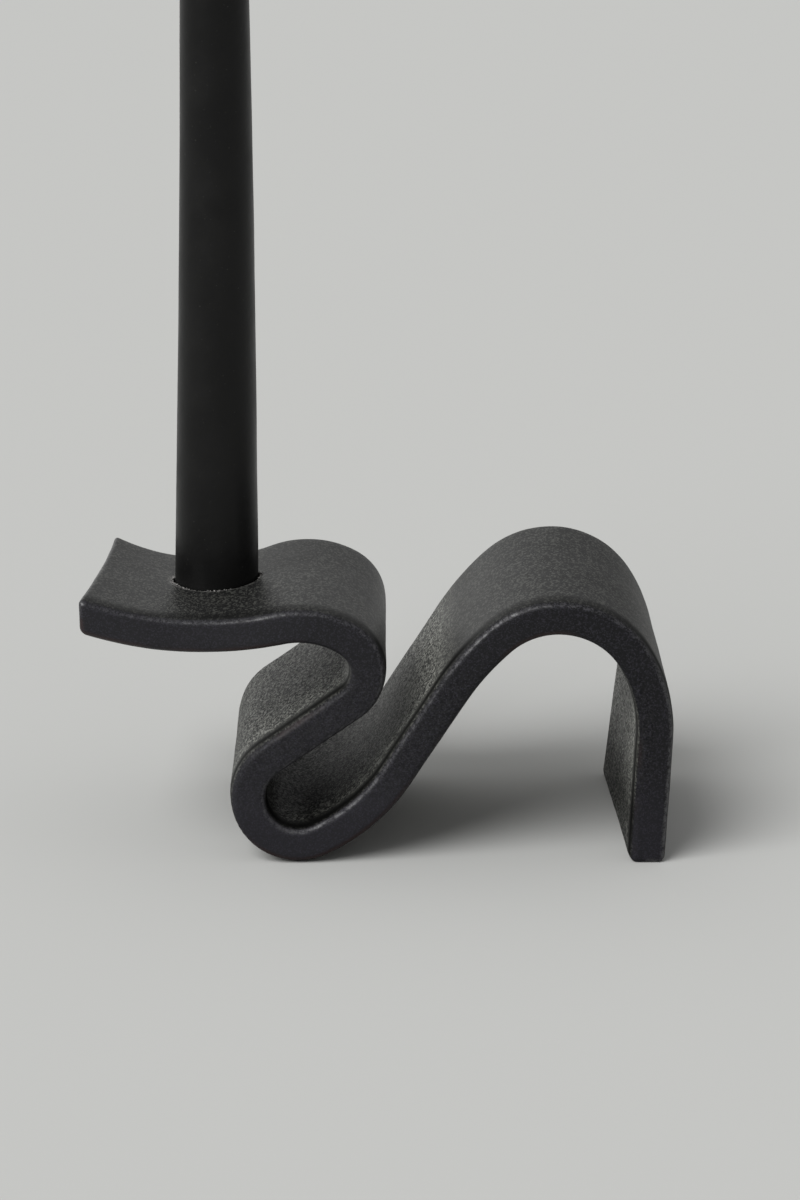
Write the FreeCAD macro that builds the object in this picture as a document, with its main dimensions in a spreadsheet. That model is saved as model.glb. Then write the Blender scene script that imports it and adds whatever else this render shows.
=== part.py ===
"""Candle holder bent from one strip of fired clay, with the taper candle that stands in it.

The strip starts at its free tip, dishes into a shelf that carries the candle, folds under
itself, loops on the table, climbs a ramp, goes over an arch and comes down on one foot.
All lengths are in millimetres and all angles in degrees.

Frame: +X from the shelf towards the foot, +Y from the near edge of the strip to its far
edge, +Z up.  The origin is on the table, under the middle of the holder.
"""

import FreeCAD
import Part
import math
import os
from dataclasses import dataclass

import Sketcher
from FreeCAD import Placement, Rotation, Vector

SIZES = {
    # The strip.
    "strip_width": 78.0,
    "strip_thickness": 9.5,
    "edge_round": 1.7,
    # Upper face of the strip along its near edge, from the tip to the foot.
    "shelf_height": 65.3,
    "shelf_radius": 90.0,
    "shelf_turn": 28.7,
    "shelf_climb": 11.7,
    "crown_radius": 28.3,
    "crown_turn": 44.5,
    "bend_radius": 14.9,
    "diagonal_slope": 34.9,
    "loop_radius": 7.9,
    "rise_radius": 44.0,
    "rise_turn": 32.0,
    "ramp_length": 25.7,
    "ramp_slope": 57.2,
    "shoulder_radius": 74.0,
    "shoulder_turn": 15.1,
    "arch_radius": 27.6,
    "knee_radius": 42.3,
    "knee_turn": 34.4,
    "leg_lean": 2.7,
    # What the hand that bent it left different along the far edge.
    "shelf_drop": 3.1,
    "shelf_curl": 39.0,
    "shelf_twist": 18.2,
    "climb_twist": 8.9,
    "crown_twist": 4.9,
    "rise_twist": 2.5,
    "ramp_gain": 0.9,
    "arch_pinch": 1.6,
    "lean_twist": 3.9,
    # The strip is bent longer than the holder and cut at both ends.  The cut at the tip is
    # measured from the lowest line of the shelf, and the cut at the foot is the table.
    "tip_reach": 31.8,
    "tip_skew": 4.3,
    "tip_hollow": 0.9,
    "tip_trim": 15.0,
    "foot_trim": 12.0,
    "cut_overrun": 5.0,
    # The blind socket for the candle, set off from the lowest line of the shelf.
    "socket_offset": 1.9,
    "socket_inset": 44.5,
    "socket_floor": 3.0,
    "socket_clearance": 0.8,
    "socket_rim_round": 0.8,
    # The wax taper.
    "candle_radius": 11.1,
    "candle_side_play": 0.3,
    "candle_length": 250.0,
    "candle_foot_round": 0.8,
    "candle_shoulder_drop": 17.0,
    "candle_shoulder_radius": 7.8,
    "candle_tip_radius": 2.2,
    # The wick.
    "wick_radius": 1.1,
    "wick_fit": 0.05,
    "wick_stand": 3.0,
    "wick_curl_radius": 24.0,
    "wick_curl_turn": 20.0,
}

HALF_TURN = 180.0
QUARTER_TURN = 90.0
FULL_TURN = 360.0
SHARP_CORNER = 20.0
TOLERANCE = 0.001

XZ_TURN = Rotation(Vector(1, 0, 0), QUARTER_TURN)
# Sketch geometry: numbers of the points of an arc or line, and of the sketch's own axes.
START = 1
END = 2
CENTRE = 3
X_LINE = -1
Y_LINE = -2
ORIGIN_POINT = (X_LINE, START)

# Places read from the near edge: the lowest line of the shelf and the axis of the arch.
SHELF_LINE = "(near_edge_line.Constraints.shelf_line / 1 mm)"
ARCH_LINE = "(near_edge_line.Constraints.arch_line / 1 mm)"
SEAT = (
    f"{SHELF_LINE} + Sizes.socket_offset",
    "Sizes.socket_inset - Sizes.strip_width / 2",
    "Sizes.shelf_height - Sizes.shelf_drop * Sizes.socket_inset / Sizes.strip_width"
    " - Sizes.strip_thickness + Sizes.socket_floor",
)
SOCKET_RADIUS = "Sizes.candle_radius + Sizes.socket_clearance"
WICK_BORE_RADIUS = "Sizes.wick_radius + Sizes.wick_fit"


@dataclass(frozen=True)
class Stroke:
    """One arc or line of a sketch, with the numbers of its first and last point."""

    index: int
    first: int
    last: int


class Pen:
    """Draws tangent arcs and straight runs in a sketch, and joins each to the one before."""

    def __init__(self, sketch, point, heading):
        self.sketch = sketch
        self.point = point
        self.heading = heading
        self.tail = None

    def direction(self):
        """Unit vector of the pen's heading."""
        angle = math.radians(self.heading)
        return Vector(math.cos(angle), math.sin(angle), 0)

    def bend(self, radius, turn, left=True):
        """Draw an arc that turns to the left or to the right."""
        side = 1 if left else -1
        ahead = self.direction()
        centre = self.point + Vector(-ahead.y, ahead.x, 0) * side * radius
        start_angle = math.radians(self.heading - side * QUARTER_TURN)
        end_angle = start_angle + side * math.radians(turn)
        circle = Part.Circle(centre, Vector(0, 0, 1), radius)
        arc = Part.ArcOfCircle(circle, *sorted((start_angle, end_angle)))
        index = self.sketch.addGeometry(arc, False)
        self.point = centre + Vector(math.cos(end_angle), math.sin(end_angle), 0) * radius
        self.heading += side * turn
        return self.join(Stroke(index, START, END) if left else Stroke(index, END, START))

    def run(self, length):
        """Draw a straight line."""
        end = self.point + self.direction() * length
        index = self.sketch.addGeometry(Part.LineSegment(self.point, end), False)
        self.point = end
        return self.join(Stroke(index, START, END))

    def join(self, stroke):
        """Make a new stroke tangent to the end of the last one."""
        if self.tail is not None:
            start = (stroke.index, stroke.first)
            self.sketch.addConstraint(Sketcher.Constraint("Tangent", *self.tail, *start))
        self.tail = (stroke.index, stroke.last)
        return stroke


def make_sheet(doc):
    """Write the driving dimensions into a spreadsheet, one named cell each."""
    sheet = doc.addObject("Spreadsheet::Sheet", "Sizes")
    for row, (name, value) in enumerate(SIZES.items(), start=1):
        sheet.set(f"A{row}", name)
        sheet.set(f"B{row}", str(value))
        sheet.setAlias(f"B{row}", name)
    doc.recompute()


def evaluate(doc, expression):
    """Present value of an expression on the sheet."""
    return float(doc.Sizes.evalExpression(expression))


def seat_point(doc):
    """Middle of the socket's floor, where the candle stands."""
    return Vector(*(evaluate(doc, text) for text in SEAT))


def bind(sketch, name, expression, kind, *where):
    """Add a named dimension to a sketch, whose value follows the sheet."""
    value = evaluate(sketch.Document, expression)
    if kind == "Angle":
        value = math.radians(value)
        expression = f"({expression}) * 1 deg"
    index = sketch.addConstraint(Sketcher.Constraint(kind, *where, value))
    sketch.renameConstraint(index, name)
    sketch.setExpression(f"Constraints.{name}", expression)


def measure(sketch, name, kind, *where):
    """Add a named dimension to a sketch that only reads what the others leave."""
    index = sketch.addConstraint(Sketcher.Constraint(kind, *where, 0))
    sketch.setDriving(index, False)
    sketch.renameConstraint(index, name)


def origin_plane(body, role):
    """One of a body's own origin planes."""
    return next(item for item in body.Origin.OriginFeatures if item.Role == role)


def attached_sketch(body, name, role):
    """A new sketch of a body on one of its origin planes."""
    sketch = body.newObject("Sketcher::SketchObject", name)
    sketch.AttachmentSupport = [(origin_plane(body, role), "")]
    sketch.MapMode = "FlatFace"
    return sketch


def draw_circle(sketch, name, expression):
    """A circle round the origin of a sketch."""
    radius = evaluate(sketch.Document, expression)
    circle = Part.Circle(Vector(0, 0, 0), Vector(0, 0, 1), radius)
    index = sketch.addGeometry(circle, False)
    sketch.addConstraint(Sketcher.Constraint("Coincident", index, CENTRE, *ORIGIN_POINT))
    bind(sketch, name, expression, "Radius", index)


def edge_expressions(is_far):
    """Sizes of one long edge of the strip, as expressions on the sheet."""
    edge = {name: f"Sizes.{name}" for name in SIZES}
    if is_far:
        edge["shelf_height"] += " - Sizes.shelf_drop"
        edge["shelf_radius"] += " - Sizes.shelf_curl"
        edge["shelf_turn"] += " + Sizes.shelf_twist"
        edge["shelf_climb"] += " + Sizes.climb_twist"
        edge["crown_turn"] += " + Sizes.crown_twist"
        edge["rise_turn"] += " + Sizes.rise_twist"
        edge["ramp_length"] += " + Sizes.ramp_gain"
        edge["arch_radius"] += " - Sizes.arch_pinch"
        edge["knee_turn"] += " + Sizes.lean_twist"
        edge["leg_lean"] += " + Sizes.lean_twist"
        edge["tip_reach"] += " - Sizes.tip_skew"
    edge["bend_turn"] = (
        f"{HALF_TURN} + {edge['shelf_climb']} - {edge['diagonal_slope']}"
        f" - ({edge['crown_turn']})"
    )
    edge["loop_turn"] = (
        f"{HALF_TURN} - {edge['diagonal_slope']} + {edge['ramp_slope']}"
        f" - ({edge['rise_turn']})"
    )
    edge["arch_turn"] = (
        f"{QUARTER_TURN} + {edge['ramp_slope']} + {edge['leg_lean']} - {edge['shoulder_turn']}"
        f" - ({edge['knee_turn']})"
    )
    return edge


def diagonal_length(size, start):
    """Length of the diagonal run that puts the lowest line of the shelf at its height."""
    heading = size["diagonal_slope"]
    height = start.y
    for name in ("bend", "crown"):
        height += size[f"{name}_radius"] * math.cos(math.radians(heading))
        heading += size[f"{name}_turn"]
        height -= size[f"{name}_radius"] * math.cos(math.radians(heading))
    height -= size["shelf_radius"] * math.cos(math.radians(heading))
    shelf_centre = size["shelf_height"] + size["shelf_radius"]
    return (shelf_centre - height) / math.sin(math.radians(size["diagonal_slope"]))


def draw_edge(sketch, edge):
    """Draw the strip's upper face along one long edge, from the loop to the foot and the tip."""
    size = {name: evaluate(sketch.Document, text) for name, text in edge.items()}
    loop_centre = Vector(0, size["strip_thickness"] + size["loop_radius"], 0)
    slope = math.radians(size["diagonal_slope"])
    loop_start = loop_centre + Vector(-math.sin(slope), math.cos(slope), 0) * size["loop_radius"]

    ahead = Pen(sketch, loop_start, size["diagonal_slope"] - HALF_TURN)
    strokes = {"loop": ahead.bend(size["loop_radius"], size["loop_turn"])}
    strokes["rise"] = ahead.bend(size["rise_radius"], size["rise_turn"])
    ramp = ahead.run(size["ramp_length"])
    strokes["shoulder"] = ahead.bend(size["shoulder_radius"], size["shoulder_turn"], left=False)
    strokes["arch"] = ahead.bend(size["arch_radius"], size["arch_turn"], left=False)
    strokes["knee"] = ahead.bend(size["knee_radius"], size["knee_turn"], left=False)
    leg = ahead.run((ahead.point.y + size["foot_trim"]) / -ahead.direction().y)

    back = Pen(sketch, loop_start, size["diagonal_slope"])
    back.tail = (strokes["loop"].index, strokes["loop"].first)
    diagonal = back.run(diagonal_length(size, loop_start))
    strokes["bend"] = back.bend(size["bend_radius"], size["bend_turn"])
    strokes["crown"] = back.bend(size["crown_radius"], size["crown_turn"])
    strokes["shelf"] = back.bend(size["shelf_radius"], size["shelf_turn"], left=False)
    shelf_line = back.point.x - back.direction().y * size["shelf_radius"]
    lip_end = shelf_line - size["tip_reach"] - size["tip_trim"]
    lip = back.run((lip_end - back.point.x) / back.direction().x)

    for name, stroke in strokes.items():
        bind(sketch, f"{name}_radius", edge[f"{name}_radius"], "Radius", stroke.index)
        bind(sketch, f"{name}_turn", edge[f"{name}_turn"], "Angle", stroke.index)
    bind(sketch, "ramp_length", edge["ramp_length"], "Distance", ramp.index)
    bind(sketch, "diagonal_slope", edge["diagonal_slope"], "Angle", diagonal.index)

    loop_point = (strokes["loop"].index, CENTRE)
    shelf_point = (strokes["shelf"].index, CENTRE)
    arch_point = (strokes["arch"].index, CENTRE)
    leg_point = (leg.index, leg.last)
    lip_point = (lip.index, lip.last)
    loop_rise = "Sizes.strip_thickness + Sizes.loop_radius"
    shelf_rise = f"{edge['shelf_height']} + {edge['shelf_radius']}"
    sketch.addConstraint(Sketcher.Constraint("PointOnObject", *loop_point, Y_LINE))
    bind(sketch, "loop_rise", loop_rise, "DistanceY", *ORIGIN_POINT, *loop_point)
    bind(sketch, "shelf_rise", shelf_rise, "DistanceY", *ORIGIN_POINT, *shelf_point)
    lip_reach = f"{edge['tip_reach']} + {edge['tip_trim']}"
    bind(sketch, "foot_trim", edge["foot_trim"], "DistanceY", *leg_point, *ORIGIN_POINT)
    bind(sketch, "lip_reach", lip_reach, "DistanceX", *lip_point, *shelf_point)
    measure(sketch, "shelf_line", "DistanceX", *ORIGIN_POINT, *shelf_point)
    measure(sketch, "arch_line", "DistanceX", *ORIGIN_POINT, *arch_point)


def make_edge_face(doc, name, is_far):
    """Outline of the strip at one of its long edges: the drawn line with its thickness."""
    sketch = doc.addObject("Sketcher::SketchObject", f"{name}_line")
    sketch.Placement = Placement(Vector(0, 0, 0), XZ_TURN)
    half_width = "Sizes.strip_width / 2"
    sketch.setExpression("Placement.Base.y", half_width if is_far else f"-{half_width}")
    draw_edge(sketch, edge_expressions(is_far))
    face = doc.addObject("Part::Offset2D", f"{name}_face")
    face.Source = sketch
    face.Mode = "Skin"
    face.Fill = True
    face.setExpression("Value", "-Sizes.strip_thickness")
    return face


def make_bent_strip(doc):
    """The bent strip, sharp-edged and longer at both ends than the finished holder."""
    near_face = make_edge_face(doc, "near_edge", is_far=False)
    far_face = make_edge_face(doc, "far_edge", is_far=True)
    strip = doc.addObject("Part::Loft", "bent_strip")
    strip.Sections = [near_face, far_face]
    strip.Solid = True
    strip.Ruled = True
    doc.recompute()
    return strip


def draw_polygon(sketch, corners):
    """Straight lines from corner to corner of a sketch; each corner is a pair of expressions."""
    doc = sketch.Document
    points = [Vector(evaluate(doc, across), evaluate(doc, along), 0) for across, along in corners]
    lines = []
    for start, end in zip(points, points[1:]):
        lines.append(sketch.addGeometry(Part.LineSegment(start, end), False))
    for line, following in zip(lines, lines[1:]):
        sketch.addConstraint(Sketcher.Constraint("Coincident", line, END, following, START))
    ends = [(line, START) for line in lines] + [(lines[-1], END)]
    for number, (end, (across, along)) in enumerate(zip(ends, corners)):
        bind(sketch, f"across_{number}", across, "DistanceX", *ORIGIN_POINT, *end)
        bind(sketch, f"along_{number}", along, "DistanceY", *ORIGIN_POINT, *end)
    return ends[0], ends[-1]


def draw_tip_cut(sketch):
    """Plan of what is cut off at the tip: a slightly hollow line, skewed across the strip."""
    doc = sketch.Document
    outside = "Sizes.strip_width / 2 + Sizes.cut_overrun"
    near_reach = f"{SHELF_LINE} - Sizes.tip_reach"
    far_reach = f"{near_reach} + Sizes.tip_skew"
    beyond = f"{near_reach} - Sizes.strip_width / 2"
    corners = [
        (far_reach, "Sizes.strip_width / 2"),
        (far_reach, outside),
        (beyond, outside),
        (beyond, f"-({outside})"),
        (near_reach, f"-({outside})"),
        (near_reach, "-Sizes.strip_width / 2"),
    ]
    far_end, near_end = draw_polygon(sketch, corners)
    far_point = sketch.getPoint(*far_end)
    near_point = sketch.getPoint(*near_end)
    hollow = evaluate(doc, "Sizes.tip_hollow")
    middle = (far_point + near_point) / 2 + Vector(hollow, 0, 0)
    index = sketch.addGeometry(Part.Arc(near_point, middle, far_point), False)
    chord = (far_point - near_point).Length
    for position in (START, END):
        at_far = (sketch.getPoint(index, position) - far_point).Length < chord / 2
        end = far_end if at_far else near_end
        sketch.addConstraint(Sketcher.Constraint("Coincident", index, position, *end))
    half_chord_squared = "((Sizes.strip_width / 2) ^ 2 + (Sizes.tip_skew / 2) ^ 2)"
    radius = f"({half_chord_squared} + Sizes.tip_hollow ^ 2) / (2 * Sizes.tip_hollow)"
    bind(sketch, "tip_cut_radius", radius, "Radius", index)


def draw_foot_cut(sketch):
    """Plan of what is cut off below the table, from the axis of the arch to past the leg."""
    outside = "Sizes.strip_width / 2 + Sizes.cut_overrun"
    beyond = f"{ARCH_LINE} + Sizes.strip_width"
    corners = [
        (ARCH_LINE, outside),
        (beyond, outside),
        (beyond, f"-({outside})"),
        (ARCH_LINE, f"-({outside})"),
        (ARCH_LINE, outside),
    ]
    draw_polygon(sketch, corners)


def sharp_edges(shape):
    """Names of the edges of a solid where its faces meet at a corner."""
    names = []
    for number, edge in enumerate(shape.Edges, start=1):
        middle = edge.valueAt((edge.FirstParameter + edge.LastParameter) / 2)
        faces = shape.ancestorsOfType(edge, Part.Face)
        normals = [face.normalAt(*face.Surface.parameter(middle)) for face in faces]
        if math.degrees(normals[0].getAngle(normals[-1])) > SHARP_CORNER:
            names.append(f"Edge{number}")
    return names


def rim_edges(doc, shape):
    """Names of the edges where the socket's wall meets the top of the shelf."""
    wall_radius = evaluate(doc, SOCKET_RADIUS)
    seat = seat_point(doc)
    names = []
    for number, edge in enumerate(shape.Edges, start=1):
        ends = [edge.valueAt(parameter) - seat for parameter in edge.ParameterRange]
        on_wall = all(abs(math.hypot(end.x, end.y) - wall_radius) < TOLERANCE for end in ends)
        if on_wall and all(end.z > TOLERANCE for end in ends):
            names.append(f"Edge{number}")
    return names


def make_pocket(body, name, plan):
    """A cut of a body along Z through the plan of a sketch."""
    pocket = body.newObject("PartDesign::Pocket", name)
    pocket.Profile = plan
    pocket.Type = "ThroughAll"
    return pocket


def make_clay_ribbon(doc):
    """The holder: the strip cut at both ends, with rounded edges and a blind socket."""
    strip = make_bent_strip(doc)
    body = doc.addObject("PartDesign::Body", "clay_ribbon")
    body.BaseFeature = strip
    doc.recompute()

    tip_plan = attached_sketch(body, "tip_plan", "XY_Plane")
    draw_tip_cut(tip_plan)
    tip_cut = make_pocket(body, "tip_cut", tip_plan)
    tip_cut.Midplane = True
    foot_plan = attached_sketch(body, "foot_plan", "XY_Plane")
    draw_foot_cut(foot_plan)
    foot_cut = make_pocket(body, "foot_cut", foot_plan)
    doc.recompute()

    rounding = body.newObject("PartDesign::Fillet", "edge_rounding")
    rounding.Base = (foot_cut, sharp_edges(foot_cut.Shape))
    rounding.setExpression("Radius", "Sizes.edge_round")
    doc.recompute()

    socket_plan = attached_sketch(body, "socket_plan", "XY_Plane")
    for axis, text in zip("xyz", SEAT):
        socket_plan.setExpression(f".AttachmentOffset.Base.{axis}", text)
    draw_circle(socket_plan, "socket_radius", SOCKET_RADIUS)
    socket = make_pocket(body, "socket", socket_plan)
    socket.Reversed = True
    doc.recompute()

    rim = body.newObject("PartDesign::Fillet", "socket_rim")
    rim.Base = (socket, rim_edges(doc, socket.Shape))
    rim.setExpression("Radius", "Sizes.socket_rim_round")
    doc.recompute()
    return body


def draw_taper(sketch):
    """Half section of the taper: rounded foot, straight side, drawn-in tip and wick bore."""
    shoulder_rise = "Sizes.candle_length - Sizes.candle_shoulder_drop"
    texts = {
        "bore": WICK_BORE_RADIUS,
        "foot_round": "Sizes.candle_foot_round",
        "foot_radius": "Sizes.candle_radius",
        "shoulder_radius": "Sizes.candle_shoulder_radius",
        "shoulder_rise": shoulder_rise,
        "tip_radius": "Sizes.candle_tip_radius",
        "length": "Sizes.candle_length",
    }
    size = {name: evaluate(sketch.Document, text) for name, text in texts.items()}
    foot = Vector(size["foot_radius"], size["foot_round"], 0)
    shoulder = Vector(size["shoulder_radius"], size["shoulder_rise"], 0)
    side_run = shoulder - foot
    tip_run = Vector(size["tip_radius"], size["length"], 0) - shoulder
    tip_turn = side_run.getAngle(tip_run)

    pen = Pen(sketch, Vector(size["bore"], 0, 0), 0)
    bottom = pen.run(size["foot_radius"] - size["foot_round"] - size["bore"])
    foot_arc = pen.bend(size["foot_round"], math.degrees(side_run.getAngle(Vector(1, 0, 0))))
    side = pen.run(side_run.Length)
    tip_arc = pen.bend(tip_run.Length / (2 * math.sin(tip_turn)), math.degrees(2 * tip_turn))
    pen.tail = None
    pen.heading = HALF_TURN
    top = pen.run(size["tip_radius"] - size["bore"])
    pen.tail = None
    pen.heading = HALF_TURN + QUARTER_TURN
    bore_wall = pen.run(size["length"])

    bottom_start = (bottom.index, bottom.first)
    side_start = (side.index, side.first)
    side_end = (side.index, side.last)
    tip_end = (tip_arc.index, tip_arc.last)
    rules = [
        ("Coincident", *tip_end, top.index, top.first),
        ("Coincident", top.index, top.last, bore_wall.index, bore_wall.first),
        ("Coincident", bore_wall.index, bore_wall.last, *bottom_start),
        ("Horizontal", bottom.index),
        ("Horizontal", top.index),
        ("Vertical", bore_wall.index),
        ("PointOnObject", *bottom_start, X_LINE),
    ]
    for rule in rules:
        sketch.addConstraint(Sketcher.Constraint(*rule))
    bind(sketch, "bore", texts["bore"], "DistanceX", *ORIGIN_POINT, *bottom_start)
    bind(sketch, "foot_round", texts["foot_round"], "Radius", foot_arc.index)
    bind(sketch, "foot_radius", texts["foot_radius"], "DistanceX", *ORIGIN_POINT, *side_start)
    bind(sketch, "shoulder_radius", texts["shoulder_radius"], "DistanceX", *ORIGIN_POINT, *side_end)
    bind(sketch, "shoulder_rise", texts["shoulder_rise"], "DistanceY", *ORIGIN_POINT, *side_end)
    bind(sketch, "tip_radius", texts["tip_radius"], "DistanceX", *ORIGIN_POINT, *tip_end)
    bind(sketch, "length", texts["length"], "DistanceY", *ORIGIN_POINT, *tip_end)


def make_wax_taper(doc):
    """The wax taper, with the bore that its wick runs through."""
    body = doc.addObject("PartDesign::Body", "wax_taper")
    profile = attached_sketch(body, "taper_profile", "XZ_Plane")
    draw_taper(profile)
    taper = body.newObject("PartDesign::Revolution", "taper")
    taper.Profile = profile
    taper.ReferenceAxis = (profile, ["V_Axis"])
    taper.Angle = FULL_TURN
    doc.recompute()
    return body


def make_wick(doc):
    """The cotton wick, straight through the wax and curling over above its tip."""
    body = doc.addObject("PartDesign::Body", "cotton_wick")
    line = attached_sketch(body, "wick_line", "XZ_Plane")
    straight = "Sizes.candle_length + Sizes.wick_stand"
    curl_radius = "Sizes.wick_curl_radius"
    curl_turn = "Sizes.wick_curl_turn"
    pen = Pen(line, Vector(0, 0, 0), QUARTER_TURN)
    stem = pen.run(evaluate(doc, straight))
    curl = pen.bend(evaluate(doc, curl_radius), evaluate(doc, curl_turn), left=False)
    stem_start = (stem.index, stem.first)
    line.addConstraint(Sketcher.Constraint("Coincident", *stem_start, *ORIGIN_POINT))
    line.addConstraint(Sketcher.Constraint("Vertical", stem.index))
    bind(line, "straight", straight, "Distance", stem.index)
    bind(line, "curl_radius", curl_radius, "Radius", curl.index)
    bind(line, "curl_turn", curl_turn, "Angle", curl.index)

    section = attached_sketch(body, "wick_section", "XY_Plane")
    draw_circle(section, "wick_radius", "Sizes.wick_radius")
    doc.recompute()
    wick = body.newObject("PartDesign::AdditivePipe", "wick")
    wick.Profile = section
    wick.Spine = (line, ["Edge1", "Edge2"])
    doc.recompute()
    return body


def check(doc, pieces):
    """Stop where a feature failed or a piece isn't one closed solid."""
    for item in doc.Objects:
        if "Invalid" in item.State or "Error" in item.State:
            raise RuntimeError(f"{item.Label} failed")
    for piece in pieces:
        shape = piece.Shape
        if shape.isNull() or not shape.isValid() or len(shape.Solids) != 1:
            raise RuntimeError(f"{piece.Label} is not one valid solid")
        if not shape.Solids[0].isClosed():
            raise RuntimeError(f"{piece.Label} is not closed")


def main():
    """Build the holder and its candle, stand them on the table and write each piece."""
    doc = FreeCAD.newDocument("candle_holder")
    make_sheet(doc)
    ribbon = make_clay_ribbon(doc)
    candle = [make_wax_taper(doc), make_wick(doc)]

    box = ribbon.Shape.optimalBoundingBox(False)
    middle = Vector(box.Center.x, box.Center.y, 0)
    ribbon.Placement = Placement(-middle, Rotation())
    play = Vector(-evaluate(doc, "Sizes.candle_side_play"), 0, 0)
    for piece in candle:
        piece.Placement = Placement(seat_point(doc) - middle + play, Rotation())
    doc.recompute()

    pieces = [ribbon, *candle]
    check(doc, pieces)
    os.makedirs("parts", exist_ok=True)
    for piece in pieces:
        piece.Shape.exportStep(os.path.join("parts", f"{piece.Label}.step"))
        box = piece.Shape.optimalBoundingBox(False)
        print(piece.Label, round(piece.Shape.Volume), box)


if __name__ == "__main__":
    main()
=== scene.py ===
"""Looks of a candle holder bent from one strip of fired clay, with its black taper candle.

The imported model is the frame: its boxes place every piece.  The clay strip is laid out flat
with its socket, bent along its two long edges by a node tree and worked over by hand, as
the real one was.  The candle is turned from its profile and the wick is twisted from
strands that follow its line.

Units are metres and degrees.  +X runs from the shelf to the foot, +Y from the strip's near
edge to its far edge, and +Z up.
"""

import logging
import math
from dataclasses import dataclass, field, fields, replace
from enum import Enum
from functools import reduce
from typing import Any, Callable, Iterable, Sequence

import bmesh
import bpy
import numpy as np
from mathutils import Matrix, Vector


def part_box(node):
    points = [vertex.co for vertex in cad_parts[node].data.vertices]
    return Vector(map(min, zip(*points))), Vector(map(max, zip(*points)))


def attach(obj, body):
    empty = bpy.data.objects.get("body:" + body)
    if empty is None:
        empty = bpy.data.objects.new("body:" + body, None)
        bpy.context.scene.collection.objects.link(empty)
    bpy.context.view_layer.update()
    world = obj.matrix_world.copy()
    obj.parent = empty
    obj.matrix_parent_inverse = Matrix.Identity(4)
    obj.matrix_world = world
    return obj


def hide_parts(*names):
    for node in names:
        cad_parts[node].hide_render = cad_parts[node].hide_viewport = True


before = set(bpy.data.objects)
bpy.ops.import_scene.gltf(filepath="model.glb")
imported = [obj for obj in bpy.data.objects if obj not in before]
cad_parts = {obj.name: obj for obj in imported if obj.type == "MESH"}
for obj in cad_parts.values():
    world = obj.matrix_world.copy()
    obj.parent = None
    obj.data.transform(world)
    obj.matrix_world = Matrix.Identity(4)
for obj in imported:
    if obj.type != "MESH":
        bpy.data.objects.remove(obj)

log = logging.getLogger("candle_holder")

MM = 0.001
HALF_TURN = 180.0
QUARTER_TURN = 90.0
PLACE_MAP = "strip_place"

Rgb = tuple[float, float, float]
Span = tuple[float, float]


class Body(Enum):
    """Rigid bodies of the frame."""

    HOLDER = "holder"
    CANDLE = "candle"


class Node(Enum):
    """Pieces of the frame."""

    RIBBON = "clay_ribbon"
    TAPER = "wax_taper"
    WICK = "cotton_wick"


class Slot(Enum):
    """Material slots of the record."""

    CLAY = "fired_clay"
    WAX = "black_wax"
    COTTON = "wick_cotton"


class Mark(Enum):
    """Values kept at each point of the strip for its finish."""

    EDGE = "rounded_edge"
    UNDER = "under_edge"
    # A line of painted shade just inside the near edges.
    GROOVE = "edge_groove"
    SIDE = "cut_side"
    RIM = "socket_rim"
    SOFT = "soft_clay"
    OUTER = "outer_leg"


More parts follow.
